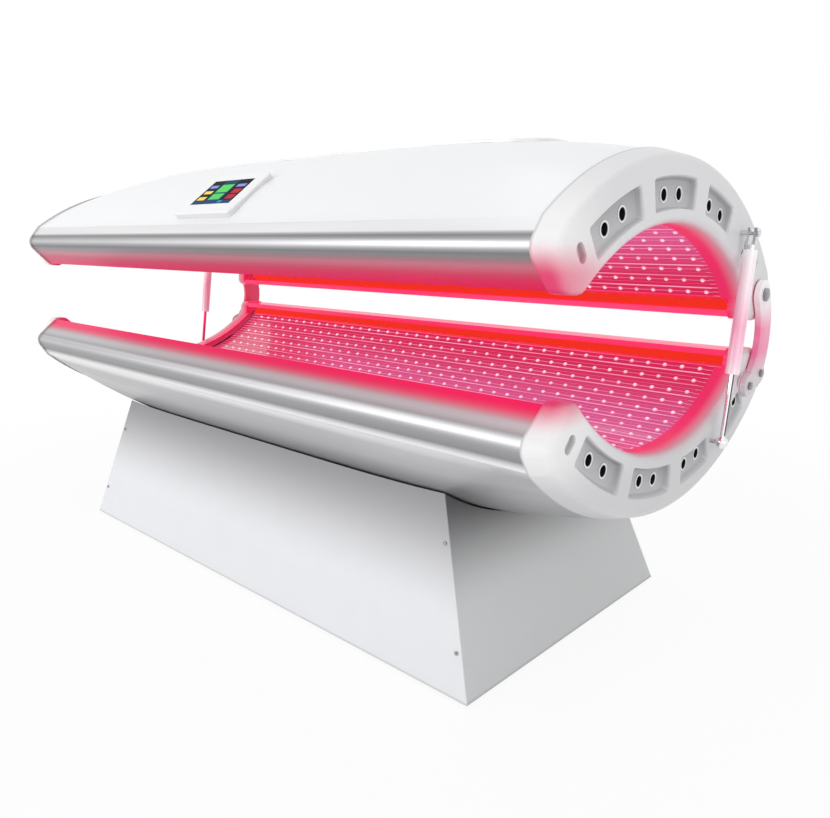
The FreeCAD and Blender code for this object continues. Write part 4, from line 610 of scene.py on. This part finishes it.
def screenPlace(tree):  # u across, v up the slope and w out of the glass
    coords = tree.nodes.new("ShaderNodeTexCoord")
    shifted = tree.nodes.new("ShaderNodeMapping")
    shifted.vector_type = "TEXTURE"
    shifted.inputs["Location"].default_value = screenBezel["middle"]
    shifted.inputs["Rotation"].default_value = (screenBezel["tilt"], 0, 0)
    tree.links.new(coords.outputs["Object"], shifted.inputs["Vector"])
    parts = tree.nodes.new("ShaderNodeSeparateXYZ")
    tree.links.new(shifted.outputs[0], parts.inputs[0])
    return parts.outputs


material, tree, shader = newFinish("bezelWhite", **{"Coat Weight": 0.2, "Coat Roughness": 0.15})
# painted shade on the bezel's side faces
below = spread(tree, screenPlace(tree)[2], *screenBezel["sideShadeOut"])
colour = mixColour(tree, below, screenBezel["white"], screenBezel["edge"])
grained(tree, shader, colour, **screenBezel["grain"])
dress(material, "screen_housing")

# screen: a generic layout of plain blocks, each with its middle and half sizes
# in metres, measured from the glass's middle
screenFace = {"ground": tone(4, 8, 34), "glow": 0.2}
screenBlocks = [(-0.0030, 0.0000, 0.0270, 0.0460, tone(8, 66, 88)),
                (0.0000, -0.0385, 0.0790, 0.0055, tone(14, 62, 116)),
                (-0.0558, 0.0221, 0.0155, 0.0052, tone(134, 150, 214)),
                (0.0522, 0.0221, 0.0170, 0.0052, tone(134, 150, 214)),
                (-0.0030, 0.0134, 0.0235, 0.0148, tone(86, 206, 96)),
                (-0.0030, -0.0178, 0.0225, 0.0112, tone(78, 200, 104)),
                (-0.0555, 0.0000, 0.0155, 0.0058, tone(240, 214, 92)),
                (-0.0555, -0.0235, 0.0155, 0.0066, tone(236, 208, 84)),
                (0.0560, 0.0006, 0.0155, 0.0082, tone(184, 36, 48)),
                (0.0552, -0.0205, 0.0155, 0.0082, tone(178, 34, 52)),
                (0.0330, -0.0377, 0.0080, 0.0040, tone(44, 150, 156))]
material, tree, shader = newFinish("screenGlass", Roughness=0.12, **{"Specular IOR Level": 0.01})
u, v, _ = screenPlace(tree)
colour = screenFace["ground"]
for middleU, middleV, halfU, halfV, blockColour in screenBlocks:
    block = place(tree, screenBlock, u=u, v=v, middleU=middleU, middleV=middleV, halfU=halfU, halfV=halfV)
    colour = mixColour(tree, block["mask"], colour, blockColour)
tree.links.new(colour, shader.inputs["Base Color"])
glow(tree, shader, colour, screenFace["glow"])
dress(material, "screen_glass")
print("screen finished")


def alone(piece):  # the one selected and active object
    bpy.ops.object.select_all(action="DESELECT")
    piece.select_set(True)
    bpy.context.view_layer.objects.active = piece


endFace = {"square": 0.9, "level": 1e-5}


def pickEnd(piece, way):  # goes to edit mode with only the end faces on that side selected
    alone(piece)
    bpy.ops.object.mode_set(mode="EDIT")
    bpy.ops.mesh.select_mode(type="FACE")
    bpy.ops.mesh.select_all(action="DESELECT")
    bpy.ops.object.mode_set(mode="OBJECT")
    far = max(face.center.z * way for face in piece.data.polygons)
    for face in piece.data.polygons:
        outermost = face.center.z * way > far - endFace["level"]
        face.select = outermost and face.normal.z * way > endFace["square"]
    bpy.ops.object.mode_set(mode="EDIT")


def roundOff(piece, size):
    alone(piece)
    bevel = piece.modifiers.new("roundEdges", "BEVEL")
    bevel.width = size["edge"]
    bevel.segments = size["segments"]
    bevel.limit_method = "ANGLE"
    bevel.angle_limit = math.radians(size["sharp"])
    bpy.ops.object.modifier_apply(modifier=bevel.name)
    bpy.ops.object.shade_smooth_by_angle(angle=math.radians(size["smooth"]))


def hand(piece, body, slotName, *nodeNames):
    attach(piece, body)
    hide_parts(*nodeNames)


# hinge arms with their long edges rounded off
armPlate = {"merge": 0.00001, "flat": 0.5, "edge": 0.0022, "segments": 3, "sharp": 50, "smooth": 40}
for nodeName, pieceName in (("hinge_arm_right", "armPlateRight"), ("hinge_arm_left", "armPlateLeft")):
    piece = bpy.data.objects.new(pieceName, nodes[nodeName].data.copy())
    bpy.context.scene.collection.objects.link(piece)
    alone(piece)
    bpy.ops.mesh.customdata_custom_splitnormals_clear()
    bpy.ops.object.mode_set(mode="EDIT")
    bpy.ops.mesh.select_all(action="SELECT")
    bpy.ops.mesh.remove_doubles(threshold=armPlate["merge"])
    bpy.ops.mesh.dissolve_limited(angle_limit=math.radians(armPlate["flat"]))
    bpy.ops.object.mode_set(mode="OBJECT")
    roundOff(piece, armPlate)
    hand(piece, "bed", "arm_white", nodeName)


def newFastener(name, size):  # stands on the floor of its own axis, head up
    bpy.ops.object.select_all(action="DESELECT")
    bpy.ops.mesh.primitive_cylinder_add(vertices=size["corners"], radius=size["head"], depth=size["height"],
                                        location=(0, 0, size["height"] / 2))
    piece = bpy.context.object
    piece.name = name
    bpy.ops.object.transform_apply(location=True, rotation=True, scale=True)
    pickEnd(piece, 1)
    bpy.ops.mesh.inset(thickness=size["rim"])
    bpy.ops.mesh.extrude_region_move(TRANSFORM_OT_translate={"value": (0, 0, size["step"])})
    bpy.ops.object.mode_set(mode="OBJECT")
    pickEnd(piece, -1)
    bpy.ops.mesh.inset(thickness=size["head"] - size["shank"])
    bpy.ops.mesh.extrude_region_move(TRANSFORM_OT_translate={"value": (0, 0, -size["reach"])})
    bpy.ops.object.mode_set(mode="OBJECT")
    roundOff(piece, size)
    piece.data.materials.append(platedFinish)
    return piece


def setFasteners(name, size, body, nodeName):  # both sides of the bed, joined as one piece
    pattern = newFastener(name, size)
    copies = []
    for side in (1, -1):
        for y, z in size["spots"]:
            copy = pattern.copy()
            copy.data = pattern.data.copy()
            bpy.context.scene.collection.objects.link(copy)
            copy.rotation_euler = (0, math.radians(90 * side), 0)
            copy.location = (side * size["seat"], y, z)
            copies.append(copy)
    bpy.data.objects.remove(pattern)
    bpy.ops.object.select_all(action="DESELECT")
    for copy in copies:
        copy.select_set(True)
    bpy.context.view_layer.objects.active = copies[0]
    bpy.ops.object.join()
    piece = bpy.context.object
    piece.name = name
    bpy.ops.object.transform_apply(location=True, rotation=True, scale=True)
    hand(piece, body, "fastener_steel", nodeName)


hexBolt = {"corners": 6, "head": 0.009, "height": 0.0054, "rim": 0.0034, "step": 0.0008, "shank": 0.005,
           "reach": 0.037, "edge": 0.0007, "segments": 2, "sharp": 40, "smooth": 40, "seat": 0.961,
           "spots": ((0.3181, 0.5364), (0.3800, 0.5564))}
pivotPin = {"corners": 40, "head": 0.014, "height": 0.0058, "rim": 0.0042, "step": 0.0012, "shank": 0.0077,
            "reach": 0.041, "edge": 0.0010, "segments": 2, "sharp": 40, "smooth": 40, "seat": 0.961,
            "spots": ((0.359, 0.729),)}
setFasteners("armHexBolts", hexBolt, "bed", "hinge_arm_bolts")
setFasteners("hingePivotPins", pivotPin, "bed", "hinge_pins")
print("hinge pieces modelled")

# camera at the photograph's angle
view = {"place": (1.516, -1.333, 0.847), "pitch": 77.15, "azimuth": 43.0, "lens": 32.5, "sensor": 36,
        "nearest": 0.01}
bpy.ops.object.camera_add(location=view["place"],
                          rotation=(math.radians(view["pitch"]), 0, math.radians(view["azimuth"])))
camera = bpy.context.object
camera.data.lens = view["lens"]
camera.data.sensor_width = view["sensor"]
camera.data.clip_start = view["nearest"]
bpy.context.scene.camera = camera


def seenBehind(tree):  # 1 where the background shows: straight on, mirrored or through the acrylic
    path = tree.nodes.new("ShaderNodeLightPath").outputs
    seen = calc(tree, "MAXIMUM", path["Is Camera Ray"], path["Is Glossy Ray"])
    return calc(tree, "MAXIMUM", seen, path["Is Transmission Ray"])


# floor: pale and shadowed near the bed, plain white further off
studio = {"floorSize": 60, "floorColour": tone(250, 250, 250), "floorRough": 0.3, "floorWhite": 0.92,
          "whiteFrom": 1.3, "whiteTo": 2.6, "ambient": 0.53}
bpy.ops.object.select_all(action="DESELECT")
bpy.ops.mesh.primitive_plane_add(size=studio["floorSize"], location=(0, 0, 0))
floor = bpy.context.object
floor.name = "studioFloor"
material, tree, shader = newFinish("floorPale", **{"Base Color": studio["floorColour"],
                                                   "Roughness": studio["floorRough"]})
white = tree.nodes.new("ShaderNodeEmission")
blend = tree.nodes.new("ShaderNodeMixShader")
x, y, _ = axes(tree)
whiteness = spread(tree, distance(tree, x, y), studio["whiteFrom"], studio["whiteTo"],
                   studio["floorWhite"], 1.0, True)
tree.links.new(product(tree, seenBehind(tree), whiteness), blend.inputs[0])
tree.links.new(shader.outputs[0], blend.inputs[1])
tree.links.new(white.outputs[0], blend.inputs[2])
tree.links.new(blend.outputs[0], tree.nodes["Material Output"].inputs[0])
floor.data.materials.append(material)

# soft light all round, with the background white
world = bpy.data.worlds.new("studio")
bpy.context.scene.world = world
world.use_nodes = True
tree = world.node_tree
background = tree.nodes["Background"]
background.inputs[0].default_value = (1, 1, 1, 1)
tree.links.new(spread(tree, seenBehind(tree), 0.0, 1.0, studio["ambient"], 1.0), background.inputs[1])

# lamps: place, turn in degrees, size in metres and watts
lamps = {"keyLamp": ((-1.9, -3.9, 2.0), (68, 0, -26), 3.0, 76),
         "topLamp": ((0.2, 0.4, 4.0), (0, 0, 0), 3.4, 23),
         "sideLamp": ((3.6, -1.4, 1.5), (74, 0, 66), 2.4, 26)}
for name, (where, turn, size, power) in lamps.items():
    bpy.ops.object.light_add(type="AREA", location=where, rotation=[math.radians(a) for a in turn])
    lamp = bpy.context.object
    lamp.name = name
    lamp.data.size = size
    lamp.data.energy = power
bpy.context.scene.view_settings.view_transform = "Standard"
print("studio set")
